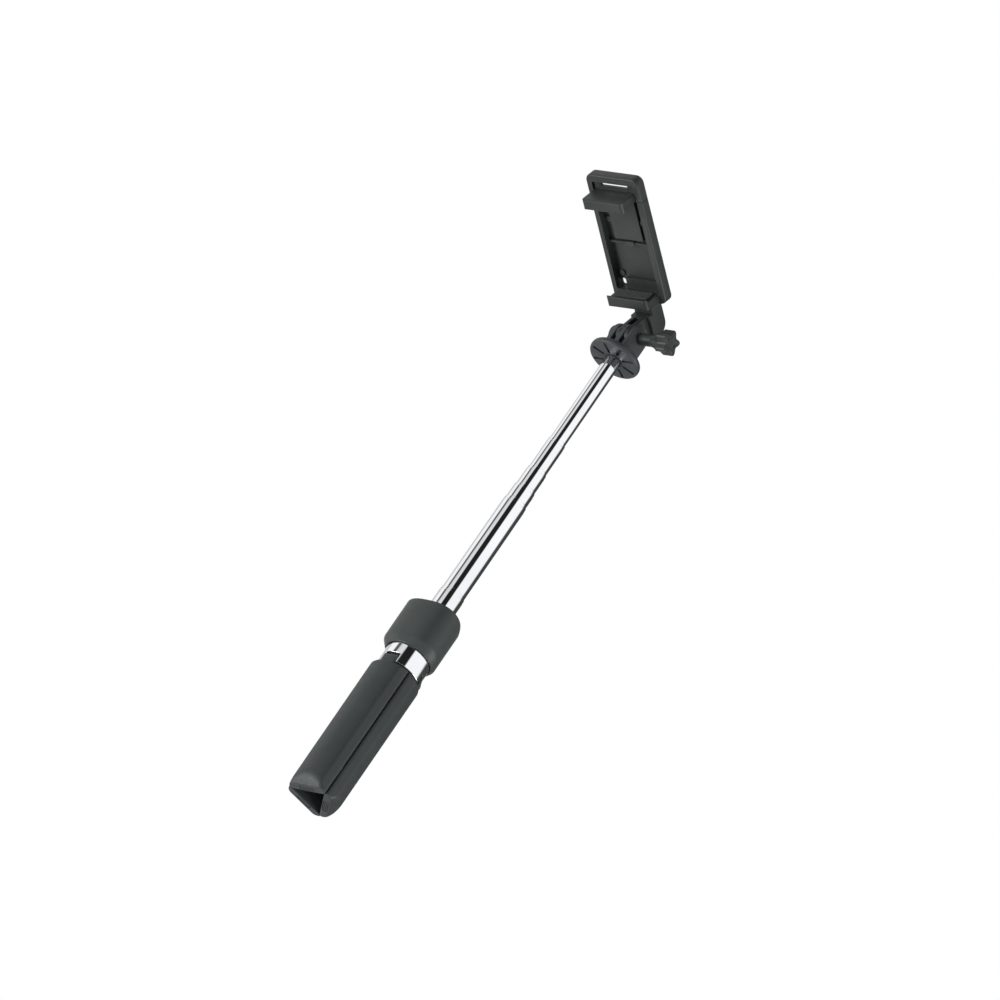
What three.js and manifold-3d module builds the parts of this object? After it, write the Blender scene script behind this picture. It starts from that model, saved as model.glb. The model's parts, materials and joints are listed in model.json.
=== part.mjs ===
// Selfie stick: three fold-out legs make the handle, a telescopic chrome pole slides out of a
// collar above them, and a tilting head carries a spring-loaded phone clamp.
//
// Millimetres. +Z runs along the pole from the handle's end (z = 0) to the head, and +X runs
// along the tilt pivot towards the star knob. The clamp reaches out towards -Y.

import * as THREE from 'three';
import { mergeVertices } from 'three/addons/utils/BufferGeometryUtils.js';
import Module from 'manifold-3d';

const wasm = await Module();
wasm.setup();

// ---------------------------------------------------------------- driving dimensions

const GAP = 0.3;                       // clearance between pieces that touch

// handle legs
const LEG_ANGLES = [-86, 34, 154];     // degrees about the pole, one per leg
const LEG_CORNER_RADIUS = 15.4;
const LEG_CREST_RADIUS = 14.9;         // outer face at the leg's middle
const LEG_FACE_HALF_ANGLE = 37;        // degrees, to the crease beside the outer face
const LEG_SEAM_RADIUS = 14.4;          // where the flank meets the seam groove
const LEG_GROOVE_RADIUS = 13.2;
const LEG_INNER_FACE = 6.2;            // flat inner face, from the pole's axis
const LEG_SEAM_GAP = 0.2;              // half the gap between two folded legs
const LEG_BORE_RADIUS = 8.3;           // room for the pole between the legs
const LEG_BORE_START = 22.5;
const LEG_SHOULDER_START = 85.5;
const LEG_TOP = 90.3;
const LEG_TOP_RADIUS = 13;
const FOOT_EDGE = 10.5;                // the foot's bevel reaches this far in at z = 0
const FOOT_BEVEL_HEIGHT = 5.8;
const FOOT_PAD = { from: 6.9, to: 9.7, halfWidth: 4.6, depth: 1.8 };

// leg hinges
const HINGE_RADIUS = 10.4;
const HINGE_Z = 93;
const HINGE_PIN_RADIUS = 0.8;
const HINGE_PIN_HALF_LENGTH = 5.1;
const LUG_HALF_WIDTH = 4.1;
const LUG_TOP = 95.2;
const LUG_OUTER = 13.7;
const LUG_INNER = 8.6;
const LUG_SLOT = { inner: 8.2, halfWidth: 4.4, top: 97 };

// hub, sleeve and collar
const HUB_BOTTOM = 91.3;
const HUB_TOP = 126;
const HUB_RADIUS = 12.2;
const POLE_BORE_RADIUS = 7.75;
const SLEEVE_RADIUS = 13;
const SLEEVE_WALL = 0.5;
const SLEEVE_TOP = 111;
const COLLAR_BOTTOM = 104;
const COLLAR_TOP = 135;
const COLLAR_MEAN_RADIUS = 16.15;
const COLLAR_LOBE = 1.35;              // three lobes stand this far out, over the legs' seams
const COLLAR_BEVEL = 1.4;
const COLLAR_LIP = { radius: 14.3, height: 3.6 };  // its lower end narrows to this
const COLLAR_CEILING = 126.5;

// pole: the first tube is fixed in the hub, and each later one slides in the one before
const TUBE_RADIUS = 7.45;
const TUBE_STEP = 0.55;
const TUBE_WALL = 0.3;
const TUBE_TOPS = [151.5, 219.4, 229.8, 243.3, 264.7, 326.2];
const TUBE_LENGTHS = [126, 124, 120.5, 117, 113.5, 110];
const BUSH_HEIGHT = 2.5;
const BUSH_STUB = 1.2;
const BUSH_HOLE_RADIUS = 1;

// head
const DISC_BOTTOM = 326.5;
const DISC_RADIUS = 14.9;
const DISC_THICKNESS = 3.7;
const DISC_SLOTS = 8;
const DISC_SLOT = { from: 5.2, to: 13.2, width: 1.3, depth: 1.2 };
const SPIGOT_LENGTH = 16;
const PIVOT_Z = 343.6;
const FINGER_RADIUS = 7;
const FINGER_WIDTH = 3;
const FINGER_SLOT_DEPTH = 10.4;        // below the pivot
const PIVOT_HOLE_RADIUS = 2.8;
const NUT_BOSS = { radius: 5.8, height: 2.6 };
const NUT = { flats: 8, height: 4, boltHole: 2.8 };

// thumbscrew
const BOLT = { radius: 2.5, start: -9.9, shoulder: 9, tipRadius: 1.9, end: 26 };
const KNOB = {
  stemStart: 7.8, stemRadius: 3.4, flareStart: 16.5, headStart: 22, end: 29.4,
  points: 5, tipRadius: 7.2, valleyRadius: 4.8, firstPoint: 45,
};

// clamp: y along its length, z out of its face, both measured from the tilt pivot
const CLAMP_TILT = 162.6;              // degrees about X, from the part's axes to the clamp's
const CLAMP_START = 13.4;
const CLAMP_LENGTH = 75.9;
const CLAMP_HALF_WIDTH = 17.6;
const CLAMP_FACE = -15.7;
const CLAMP_DEPTH = 6.4;
const CLAMP_CORNER = 4;
const CLAMP_BEVEL = 1.1;
const CLAMP_RIM = 3.4;
const RECESS_DEPTH = 4.7;
const RECESS_START = 6.4;              // along the clamp, from its lower end
const STEP_END = 12.5;
const STEP_HEIGHT = 2.5;
const RIB = { from: 33.4, to: 34.7, height: 1.8 };
const STEP_SIDE = -10.3;                // the step stops here, beside the corner hole
const CORNER_HOLE = { x: -12.5, halfWidth: 1.6, from: 6.5, to: 10.6 };
const CLAMP_SPLIT = 62;                // the sliding end starts just past this
const LOWER_JAW = { from: 1.6, to: 6.2, reach: 11.6, halfWidth: 13.6, lip: 1.6, lipLength: 2.2 };
const UPPER_JAW = { from: 62.4, to: 67, reach: 11.9, halfWidth: 13.6, lip: 1.4, lipLength: 2.2 };
const END_RECESS = { to: 71.6, depth: 1.5 };
const END_HOLLOW = { halfWidth: 13.2, from: 67.2, to: 73.9, roof: 3.2 };
const END_SLIT = { halfWidth: 9, from: 68.9, to: 70.9 };
const SLIDER = { from: 36.2, halfWidth: 9.5, thickness: 1.5 };
const SLIDER_BOSS = { from: 36.5, to: 39, halfWidth: 3.7 };
const FLOOR_SLOT_HALF_WIDTH = 4;
const PAD_THICKNESS = 1;

// clamp back and its spring pack
const ARM_HALF_WIDTH = 4.2;
const ARM_SHOULDER = { halfWidth: 6.4, start: -12.5 };  // wider, past the three fingers
const ARM_FRONT = 6.6;
const ARM_BACK = -7.2;
const ARM_ELBOW_RADIUS = 6.5;
const ARM_BEHIND_FRAME = 2.5;  // how far the arm's back stands behind the frame's back
const PRONG_SLOT_HALF_WIDTH = 1.8;
const PRONG_CLEARANCE = 7.9;           // around the pivot, where the middle finger turns
const PRONG_SLOT_LENGTH = 10.6;        // clears the middle finger's lower corners when tilted
const COVER = { from: 11, halfWidth: 13, depth: 4.6, bevel: 1, cavityHalfWidth: 10, wall: 1.3 };
const RUNNER = { from: 15.5, to: 39, halfWidth: 6, thickness: 1.4, earHalfWidth: 9.6, ear: 1.6 };
const SPRING = { x: 8.1, radius: 1.4, hole: 0.8, from: 14, to: 36.8 };
const COVER_SCREWS = { x: 11.4, rows: [14.5, 47], headRadius: 1.35, headHeight: 0.9, radius: 0.7 };
const RUNNER_SCREWS = { x: 2.2, headRadius: 1.1, headHeight: 0.7, radius: 0.5, length: 2.6 };

// ---------------------------------------------------------------- geometry helpers

const ROUND = 32;                      // sides of a large round piece
const SMALL_ROUND = 12;                // sides of a pin or screw
const PAST = 1;                        // how far a cutter runs past what it cuts
const degrees = THREE.MathUtils.degToRad;

const X_AXIS = new THREE.Vector3(1, 0, 0);
const Y_AXIS = new THREE.Vector3(0, 1, 0);
const Z_AXIS = new THREE.Vector3(0, 0, 1);
const TO_Z = new THREE.Matrix4();
const TO_X = new THREE.Matrix4().makeBasis(Y_AXIS, Z_AXIS, X_AXIS);
const TO_Y = new THREE.Matrix4().makeBasis(Z_AXIS, X_AXIS, Y_AXIS);

function solid(geometry) {
  geometry.deleteAttribute('normal');
  geometry.deleteAttribute('uv');
  const merged = mergeVertices(geometry);
  return new wasm.Manifold(new wasm.Mesh({
    numProp: 3,
    vertProperties: new Float32Array(merged.attributes.position.array),
    triVerts: new Uint32Array(merged.index.array),
  }));
}

function geometryOf(manifold) {
  const mesh = manifold.getMesh();
  const geometry = new THREE.BufferGeometry();
  geometry.setAttribute('position', new THREE.BufferAttribute(mesh.vertProperties, 3));
  geometry.setIndex(new THREE.BufferAttribute(mesh.triVerts, 1));
  geometry.computeVertexNormals();
  return geometry;
}

function joined(first, ...others) {
  return others.reduce((whole, piece) => whole.add(piece), first);
}

function cut(whole, ...cutters) {
  return cutters.reduce((rest, cutter) => rest.subtract(cutter), whole);
}

function outline(points) {
  return new THREE.Shape(points.map(([a, b]) => new THREE.Vector2(a, b)));
}

// Extrudes a shape between two heights along Z, or along X or Y with TO_X or TO_Y, which turn
// the shape's two axes into (y, z) or (z, x).
function prism(shape, from, to, basis = TO_Z) {
  const geometry = new THREE.ExtrudeGeometry(shape, {
    depth: to - from, bevelEnabled: false, curveSegments: 6,
  });
  geometry.translate(0, 0, from);
  return solid(geometry.applyMatrix4(basis));
}

function bevelled(shape, from, to, bevel) {
  const geometry = new THREE.ExtrudeGeometry(shape, {
    depth: to - from - 2 * bevel, bevelThickness: bevel, bevelSize: bevel,
    bevelOffset: -bevel, bevelSegments: 2, curveSegments: 5,
  });
  geometry.translate(0, 0, from + bevel);
  return solid(geometry);
}

function block(x0, x1, y0, y1, z0, z1) {
  const geometry = new THREE.BoxGeometry(x1 - x0, y1 - y0, z1 - z0);
  geometry.translate((x0 + x1) / 2, (y0 + y1) / 2, (z0 + z1) / 2);
  return solid(geometry);
}

// A solid of revolution about Z. The profile's points are (radius, z), and closed ones that
// stay off the axis make a ring.
function turned(profile, sides = ROUND) {
  const points = profile.map(([r, z]) => new THREE.Vector2(r, z));
  const onAxis = points[0].x === 0;
  if (!onAxis) points.push(points[0].clone());
  const geometry = new THREE.LatheGeometry(points, sides);
  geometry.rotateX(Math.PI / 2);
  return solid(geometry);
}

function rod(radius, from, to, sides = ROUND) {
  return turned([[0, from], [radius, from], [radius, to], [0, to]], sides);
}

// A rod along X or Y through a point given by its two other coordinates.
function rodAlong(axis, radius, from, to, [a, b], sides = SMALL_ROUND) {
  const geometry = new THREE.CylinderGeometry(radius, radius, to - from, sides);
  geometry.translate(0, (from + to) / 2, 0);
  if (axis === 'x') {
    geometry.rotateZ(-Math.PI / 2);
    geometry.translate(0, a, b);
  } else {
    geometry.translate(a, 0, b);
  }
  return solid(geometry);
}

function roundedRectangle(halfWidth, from, to, corner) {
  const shape = new THREE.Shape();
  shape.moveTo(-halfWidth + corner, from);
  shape.lineTo(halfWidth - corner, from);
  shape.absarc(halfWidth - corner, from + corner, corner, -Math.PI / 2, 0);
  shape.lineTo(halfWidth, to - corner);
  shape.absarc(halfWidth - corner, to - corner, corner, 0, Math.PI / 2);
  shape.lineTo(-halfWidth + corner, to);
  shape.absarc(-halfWidth + corner, to - corner, corner, Math.PI / 2, Math.PI);
  shape.lineTo(-halfWidth, from + corner);
  shape.absarc(-halfWidth + corner, from + corner, corner, Math.PI, 1.5 * Math.PI);
  return shape;
}

function polar(radius, angle) {
  return [radius * Math.cos(degrees(angle)), radius * Math.sin(degrees(angle))];
}

// ---------------------------------------------------------------- materials

function finish(color, roughness, metalness = 0) {
  return new THREE.MeshStandardMaterial({ color, roughness, metalness });
}

const LEG_PLASTIC = finish(0x3f4444, 0.5);
const COLLAR_PLASTIC = finish(0x3a3f3f, 0.5);
const HEAD_PLASTIC = finish(0x5d6163, 0.5);
const CLAMP_PLASTIC = finish(0x414746, 0.45);
const KNOB_PLASTIC = finish(0x4a5050, 0.5);
const GUIDE_PLASTIC = finish(0xc8c8c4, 0.5);
const RUBBER = finish(0x2b2e2e, 0.85);
const CHROME = finish(0xe6e8ea, 0.08, 1);
const STEEL = finish(0xb4b6b8, 0.3, 1);

function piece(name, material, manifold) {
  const mesh = new THREE.Mesh(geometryOf(manifold), material);
  mesh.name = name;
  return mesh;
}

function groupOf(...meshes) {
  const group = new THREE.Group();
  group.add(...meshes);
  return group;
}

// ---------------------------------------------------------------- handle

// A point beside the seam plane at 60 degrees, seen in a leg's own frame, where x points out
// through the leg's middle.
function besideSeam(radius, side) {
  const [x, y] = polar(radius, 60);
  const [gapX, gapY] = polar(LEG_SEAM_GAP, -30);
  return [x + gapX, side * (y + gapY)];
}

function legSection() {
  const [cornerX, cornerY] = polar(LEG_CORNER_RADIUS, LEG_FACE_HALF_ANGLE);
  const rise = LEG_CREST_RADIUS - cornerX;
  const faceRadius = (cornerY ** 2 + rise ** 2) / (2 * rise);
  const faceAngle = Math.asin(cornerY / faceRadius);
  const innerCorner = LEG_INNER_FACE / Math.cos(degrees(60));
  const [seamX, seamY] = polar(LEG_SEAM_RADIUS, 57.5);
  const shape = new THREE.Shape();
  shape.moveTo(...besideSeam(innerCorner, -1));
  shape.lineTo(...besideSeam(LEG_GROOVE_RADIUS, -1));
  shape.lineTo(seamX, -seamY);
  shape.lineTo(cornerX, -cornerY);
  shape.absarc(LEG_CREST_RADIUS - faceRadius, 0, faceRadius, -faceAngle, faceAngle);
  shape.lineTo(seamX, seamY);
  shape.lineTo(...besideSeam(LEG_GROOVE_RADIUS, 1));
  shape.lineTo(...besideSeam(innerCorner, 1));
  return shape;
}

function legBody() {
  const envelope = turned([
    [0, 0], [13.8, 0], [14.8, 1.2], [LEG_CORNER_RADIUS + 0.1, 5],
    [LEG_CORNER_RADIUS + 0.1, LEG_SHOULDER_START], [14.9, 87.8], [14, 89.5],
    [LEG_TOP_RADIUS, LEG_TOP], [0, LEG_TOP],
  ], 2 * ROUND);
  const bar = prism(legSection(), -PAST, LEG_TOP + PAST).intersect(envelope);
  const lug = prism(outline([
    [86, LUG_INNER], [HINGE_Z, LUG_INNER], [HINGE_Z + 1.4, LUG_INNER + 0.4],
    [LUG_TOP, HINGE_RADIUS], [LUG_TOP, LUG_OUTER - 0.9], [LUG_TOP - 1, LUG_OUTER],
    [86, LUG_OUTER],
  ]), -LUG_HALF_WIDTH, LUG_HALF_WIDTH, TO_Y);
  const bore = rod(LEG_BORE_RADIUS, LEG_BORE_START, LEG_TOP + 10);
  const slope = (LEG_CORNER_RADIUS - FOOT_EDGE) / FOOT_BEVEL_HEIGHT;
  const bevel = prism(outline([
    [-PAST, FOOT_EDGE - slope * PAST], [-PAST, 20], [8, 20], [8, FOOT_EDGE + slope * 8],
  ]), -20, 20, TO_Y);
  const padPocket = block(
    FOOT_PAD.from - GAP, FOOT_PAD.to + GAP, -FOOT_PAD.halfWidth - GAP, FOOT_PAD.halfWidth + GAP,
    -PAST, FOOT_PAD.depth + GAP,
  );
  const pinHole = rodAlong('y', HINGE_PIN_RADIUS + GAP, -10, 10, [HINGE_RADIUS, HINGE_Z]);
  return cut(joined(bar, lug), bore, bevel, padPocket, pinHole);
}

function leg(number, angle) {
  const pad = block(
    FOOT_PAD.from, FOOT_PAD.to, -FOOT_PAD.halfWidth, FOOT_PAD.halfWidth, 0, FOOT_PAD.depth,
  );
  const pin = rodAlong(
    'y', HINGE_PIN_RADIUS, -HINGE_PIN_HALF_LENGTH, HINGE_PIN_HALF_LENGTH,
    [HINGE_RADIUS, HINGE_Z],
  );
  const group = groupOf(
    piece(`leg_${number}`, LEG_PLASTIC, legBody()),
    piece(`leg_${number}_foot_pad`, RUBBER, pad),
    piece(`leg_${number}_hinge_pin`, STEEL, pin),
  );
  group.rotation.z = degrees(angle);
  return group;
}

function aroundLegs(cutter) {
  return LEG_ANGLES.map((angle) => cutter.rotate([0, 0, angle]));
}

function hingeHub() {
  const body = turned([
    [POLE_BORE_RADIUS, HUB_BOTTOM], [HUB_RADIUS, HUB_BOTTOM], [HUB_RADIUS, HUB_TOP],
    [POLE_BORE_RADIUS, HUB_TOP],
  ], 2 * ROUND);
  const slot = block(
    LUG_SLOT.inner, 20, -LUG_SLOT.halfWidth, LUG_SLOT.halfWidth, HUB_BOTTOM - PAST,
    LUG_SLOT.top,
  );
  const half = HINGE_PIN_HALF_LENGTH + GAP;
  const pinHole = rodAlong('y', HINGE_PIN_RADIUS + GAP, -half, half, [HINGE_RADIUS, HINGE_Z]);
  return cut(body, ...aroundLegs(slot), ...aroundLegs(pinHole));
}

function chromeSleeve() {
  const body = turned([
    [SLEEVE_RADIUS - SLEEVE_WALL, HUB_BOTTOM], [SLEEVE_RADIUS, HUB_BOTTOM],
    [SLEEVE_RADIUS, SLEEVE_TOP], [SLEEVE_RADIUS - SLEEVE_WALL, SLEEVE_TOP],
  ], 2 * ROUND);
  const notch = block(
    LUG_SLOT.inner, 20, -LUG_SLOT.halfWidth, LUG_SLOT.halfWidth, HUB_BOTTOM - PAST,
    LUG_SLOT.top,
  );
  return cut(body, ...aroundLegs(notch));
}

function collarSection() {
  const points = [];
  for (let i = 0; i < 3 * 16; i += 1) {
    const angle = i * 360 / 48;
    const fromSeam = degrees(angle - LEG_ANGLES[0] - 60);
    points.push(polar(COLLAR_MEAN_RADIUS + COLLAR_LOBE * Math.cos(3 * fromSeam), angle));
  }
  return outline(points);
}

function collarShell() {
  const widest = COLLAR_MEAN_RADIUS + COLLAR_LOBE + 0.1;
  const envelope = turned([
    [0, COLLAR_BOTTOM], [COLLAR_LIP.radius, COLLAR_BOTTOM],
    [widest, COLLAR_BOTTOM + COLLAR_LIP.height], [widest, COLLAR_TOP], [0, COLLAR_TOP],
  ], 2 * ROUND);
  const body = bevelled(collarSection(), COLLAR_BOTTOM, COLLAR_TOP, COLLAR_BEVEL)
    .intersect(envelope);
  const sleeveBore = rod(SLEEVE_RADIUS + GAP, COLLAR_BOTTOM - PAST, SLEEVE_TOP + GAP);
  const hubBore = rod(HUB_RADIUS + GAP, COLLAR_BOTTOM, COLLAR_CEILING);
  const poleBore = rod(POLE_BORE_RADIUS, COLLAR_BOTTOM, COLLAR_TOP + PAST);
  return cut(body, sleeveBore, hubBore, poleBore);
}

// ---------------------------------------------------------------- pole

function tube(number) {
  const index = number - 1;
  const outer = TUBE_RADIUS - index * TUBE_STEP;
  const inner = outer - TUBE_WALL;
  const top = TUBE_TOPS[index];
  const bottom = top - TUBE_LENGTHS[index];
  const wall = turned([[inner, bottom], [outer, bottom], [outer, top], [inner, top]]);
  const bush = turned([
    [BUSH_HOLE_RADIUS, bottom - BUSH_HEIGHT], [outer, bottom - BUSH_HEIGHT],
    [outer, bottom - GAP], [inner - GAP, bottom - GAP], [inner - GAP, bottom + BUSH_STUB],
    [BUSH_HOLE_RADIUS, bottom + BUSH_STUB],
  ]);
  return [
    piece(`tube_${number}`, CHROME, wall),
    piece(`tube_${number}_guide_bush`, GUIDE_PLASTIC, bush),
  ];
}

// ---------------------------------------------------------------- head

function headMount() {
  const discTop = DISC_BOTTOM + DISC_THICKNESS;
  const spigotRadius = TUBE_RADIUS - 5 * TUBE_STEP - TUBE_WALL - GAP;
  const disc = turned([
    [0, DISC_BOTTOM - SPIGOT_LENGTH], [spigotRadius, DISC_BOTTOM - SPIGOT_LENGTH],
    [spigotRadius, DISC_BOTTOM], [DISC_RADIUS - 0.9, DISC_BOTTOM],
    [DISC_RADIUS, DISC_BOTTOM + 0.9], [DISC_RADIUS, discTop - 1.2],
    [DISC_RADIUS - 1.2, discTop], [0, discTop],
  ], 40);
  const finger = new THREE.Shape();
  finger.moveTo(-FINGER_RADIUS, discTop - PAST);
  finger.lineTo(FINGER_RADIUS, discTop - PAST);
  finger.absarc(0, PIVOT_Z, FINGER_RADIUS, 0, Math.PI);
  const width = 2.5 * FINGER_WIDTH;
  const fingers = prism(finger, -width, width, TO_X);
  const pivot = [0, PIVOT_Z];
  const bossEnd = -width - NUT_BOSS.height;
  const boss = rodAlong('x', NUT_BOSS.radius, bossEnd, -width + PAST, pivot, ROUND);
  const slots = [-1, 1].map((side) => {
    const middle = side * FINGER_WIDTH;
    return block(
      middle - FINGER_WIDTH / 2, middle + FINGER_WIDTH / 2, -20, 20,
      PIVOT_Z - FINGER_SLOT_DEPTH, PIVOT_Z + 20,
    );
  });
  const hole = rodAlong('x', PIVOT_HOLE_RADIUS, -20, 20, pivot, 16);
  const nutPocket = hexagon(NUT.flats / 2 + GAP, bossEnd - PAST, bossEnd + NUT.height + GAP);
  const underSlots = [];
  for (let i = 0; i < DISC_SLOTS; i += 1) {
    const slot = block(
      DISC_SLOT.from, DISC_SLOT.to, -DISC_SLOT.width / 2, DISC_SLOT.width / 2,
      DISC_BOTTOM - PAST, DISC_BOTTOM + DISC_SLOT.depth,
    );
    underSlots.push(slot.rotate([0, 0, i * 360 / DISC_SLOTS]));
  }
  return cut(joined(disc, fingers, boss), ...slots, hole, nutPocket, ...underSlots);
}

function hexagon(halfFlats, from, to) {
  const corners = [];
  for (let i = 0; i < 6; i += 1) {
    corners.push(polar(halfFlats / Math.cos(degrees(30)), 30 + 60 * i));
  }
  return prism(outline(corners.map(([a, b]) => [a, PIVOT_Z + b])), from, to, TO_X);
}

function hexNut() {
  const start = -2.5 * FINGER_WIDTH - NUT_BOSS.height;
  const hole = rodAlong('x', NUT.boltHole, -20, 20, [0, PIVOT_Z], 16);
  return cut(hexagon(NUT.flats / 2, start, start + NUT.height), hole);
}

// ---------------------------------------------------------------- thumbscrew

function thumbBolt() {
  const pivot = [0, PIVOT_Z];
  const shank = rodAlong('x', BOLT.radius, BOLT.start, BOLT.shoulder, pivot, 16);
  const tail = rodAlong('x', BOLT.tipRadius, BOLT.shoulder - PAST, BOLT.end, pivot, 16);
  return joined(shank, tail);
}

function starKnob() {
  const star = [];
  for (let i = 0; i < KNOB.points; i += 1) {
    const tip = KNOB.firstPoint + i * 360 / KNOB.points;
    const shoulder = 11;
    star.push(polar(KNOB.tipRadius, tip - shoulder), polar(KNOB.tipRadius, tip + shoulder));
    star.push(polar(KNOB.valleyRadius, tip + 180 / KNOB.points));
  }
  const head = prism(outline(star), KNOB.headStart, KNOB.end);
  const stem = turned([
    [0, KNOB.stemStart], [KNOB.stemRadius, KNOB.stemStart], [KNOB.stemRadius, KNOB.flareStart],
    [KNOB.valleyRadius, KNOB.headStart + 0.5], [0, KNOB.headStart + 0.5],
  ]);
  const wideBore = rod(BOLT.radius + GAP, KNOB.stemStart - PAST, BOLT.shoulder + GAP, 16);
  const bore = rod(BOLT.tipRadius + GAP, KNOB.stemStart, BOLT.end + GAP, 16);
  const alongZ = cut(joined(head, stem), wideBore, bore);
  return alongZ.rotate([0, 90, 0]).rotate([90, 0, 0]).translate([0, 0, PIVOT_Z]);
}

// ---------------------------------------------------------------- phone clamp

// Places along the clamp, from its lower end.
function along(distance) {
  return CLAMP_START + distance;
}

// Heights below the clamp's front face.
function below(depth) {
  return CLAMP_FACE - depth;
}

function clampOutline() {
  const shape = roundedRectangle(
    CLAMP_HALF_WIDTH, along(0), along(CLAMP_LENGTH), CLAMP_CORNER,
  );
  return bevelled(shape, below(CLAMP_DEPTH), CLAMP_FACE, CLAMP_BEVEL);
}

// The jaw's section, across the clamp: a plate that stands out of the face, with a small lip
// at its end that keeps the phone in. inward is +1 where the phone lies further along.
function jaw({ from, to, reach, halfWidth, lip, lipLength }, inward, foot) {
  const inner = along(inward > 0 ? to : from);
  const outer = along(inward > 0 ? from : to);
  const end = CLAMP_FACE + reach;
  const slope = inward * 0.8;
  return prism(outline([
    [outer, below(foot)], [inner, below(foot)], [inner, end - lipLength - 0.6],
    [inner + inward * lip, end - lipLength + 0.6], [inner + inward * lip, end - 0.5],
    [inner + inward * (lip - 0.5), end], [outer + slope, end], [outer, end - 1.2],
  ]), -halfWidth, halfWidth, TO_X);
}

function screwHoles(x, rows, radius, from, to) {
  const holes = [];
  for (const row of rows) {
    for (const side of [-1, 1]) {
      holes.push(rod(radius, from, to, SMALL_ROUND).translate([side * x, along(row), 0]));
    }
  }
  return holes;
}

function clampFrame() {
  const inside = CLAMP_HALF_WIDTH - CLAMP_RIM;
  const floor = below(RECESS_DEPTH);
  const recess = block(
    -inside, inside, along(RECESS_START), along(CLAMP_LENGTH), floor, CLAMP_FACE + PAST,
  );
  const beyond = block(-20, 20, along(CLAMP_SPLIT), along(CLAMP_LENGTH) + PAST, -40, 0);
  const step = block(
    STEP_SIDE, inside + 0.1, along(RECESS_START) - 0.1, along(STEP_END), floor - 0.1,
    floor + STEP_HEIGHT,
  );
  const rib = block(
    -inside - 0.1, inside + 0.1, along(RIB.from), along(RIB.to), floor - 0.1,
    floor + RIB.height,
  );
  const bosses = screwHoles(
    COVER_SCREWS.x, COVER_SCREWS.rows, 1.7, floor - 0.1, floor + STEP_HEIGHT,
  );
  const slot = block(
    -FLOOR_SLOT_HALF_WIDTH, FLOOR_SLOT_HALF_WIDTH, along(SLIDER.from - 0.1),
    along(CLAMP_LENGTH), floor - 5, floor + PAST,
  );
  const cornerHole = block(
    CORNER_HOLE.x - CORNER_HOLE.halfWidth, CORNER_HOLE.x + CORNER_HOLE.halfWidth,
    along(CORNER_HOLE.from), along(CORNER_HOLE.to), floor - 5, floor + PAST,
  );
  const holes = screwHoles(
    COVER_SCREWS.x, COVER_SCREWS.rows, COVER_SCREWS.radius + GAP, below(CLAMP_DEPTH) - PAST,
    floor + STEP_HEIGHT - 0.7,
  );
  const shell = joined(cut(clampOutline(), recess), step, rib, ...bosses);
  return cut(joined(shell, jaw(LOWER_JAW, 1, 2)), beyond, slot, cornerHole, ...holes);
}

function upperJaw() {
  const inside = CLAMP_HALF_WIDTH - CLAMP_RIM - GAP;
  const slabBottom = below(RECESS_DEPTH - GAP);
  const start = along(CLAMP_SPLIT + GAP);
  const bar = clampOutline().intersect(
    block(-20, 20, start, along(CLAMP_LENGTH) + PAST, -40, 0),
  );
  const endRecess = block(
    -inside, inside, along(CLAMP_SPLIT), along(END_RECESS.to), below(END_RECESS.depth),
    CLAMP_FACE + PAST,
  );
  const hollow = prism(outline([
    [along(END_HOLLOW.from), below(END_HOLLOW.roof)],
    [along(END_HOLLOW.to), below(END_HOLLOW.roof)], [along(END_HOLLOW.to), below(8)],
    [along(END_HOLLOW.from - 2.6), below(8)],
  ]), -END_HOLLOW.halfWidth, END_HOLLOW.halfWidth, TO_X);
  const plate = block(
    -SLIDER.halfWidth, SLIDER.halfWidth, along(SLIDER.from), along(UPPER_JAW.from + PAST),
    slabBottom, slabBottom + SLIDER.thickness,
  );
  const bossEnd = below(CLAMP_DEPTH);
  const boss = block(
    -SLIDER_BOSS.halfWidth, SLIDER_BOSS.halfWidth, along(SLIDER_BOSS.from),
    along(SLIDER_BOSS.to), bossEnd, slabBottom + 0.5,
  );
  const slit = block(
    -END_SLIT.halfWidth, END_SLIT.halfWidth, along(END_SLIT.from), along(END_SLIT.to), -40, 0,
  );
  const middle = (SLIDER_BOSS.from + SLIDER_BOSS.to) / 2;
  const holes = screwHoles(
    RUNNER_SCREWS.x, [middle], RUNNER_SCREWS.radius + GAP, bossEnd - PAST, bossEnd + 2.4,
  );
  const body = joined(cut(bar, endRecess, hollow, slit), plate, boss, jaw(UPPER_JAW, -1, 2));
  return cut(body, ...holes);
}

// A thin strip on a jaw's inner face.
function jawPad({ from, to, reach, halfWidth, lipLength }, inward) {
  const inner = along(inward > 0 ? to : from) + inward * GAP;
  const faces = [inner, inner + inward * PAD_THICKNESS].sort((a, b) => a - b);
  return block(
    -halfWidth + 2, halfWidth - 2, faces[0], faces[1], CLAMP_FACE + 1,
    CLAMP_FACE + reach - lipLength - 1.2,
  );
}

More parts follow.
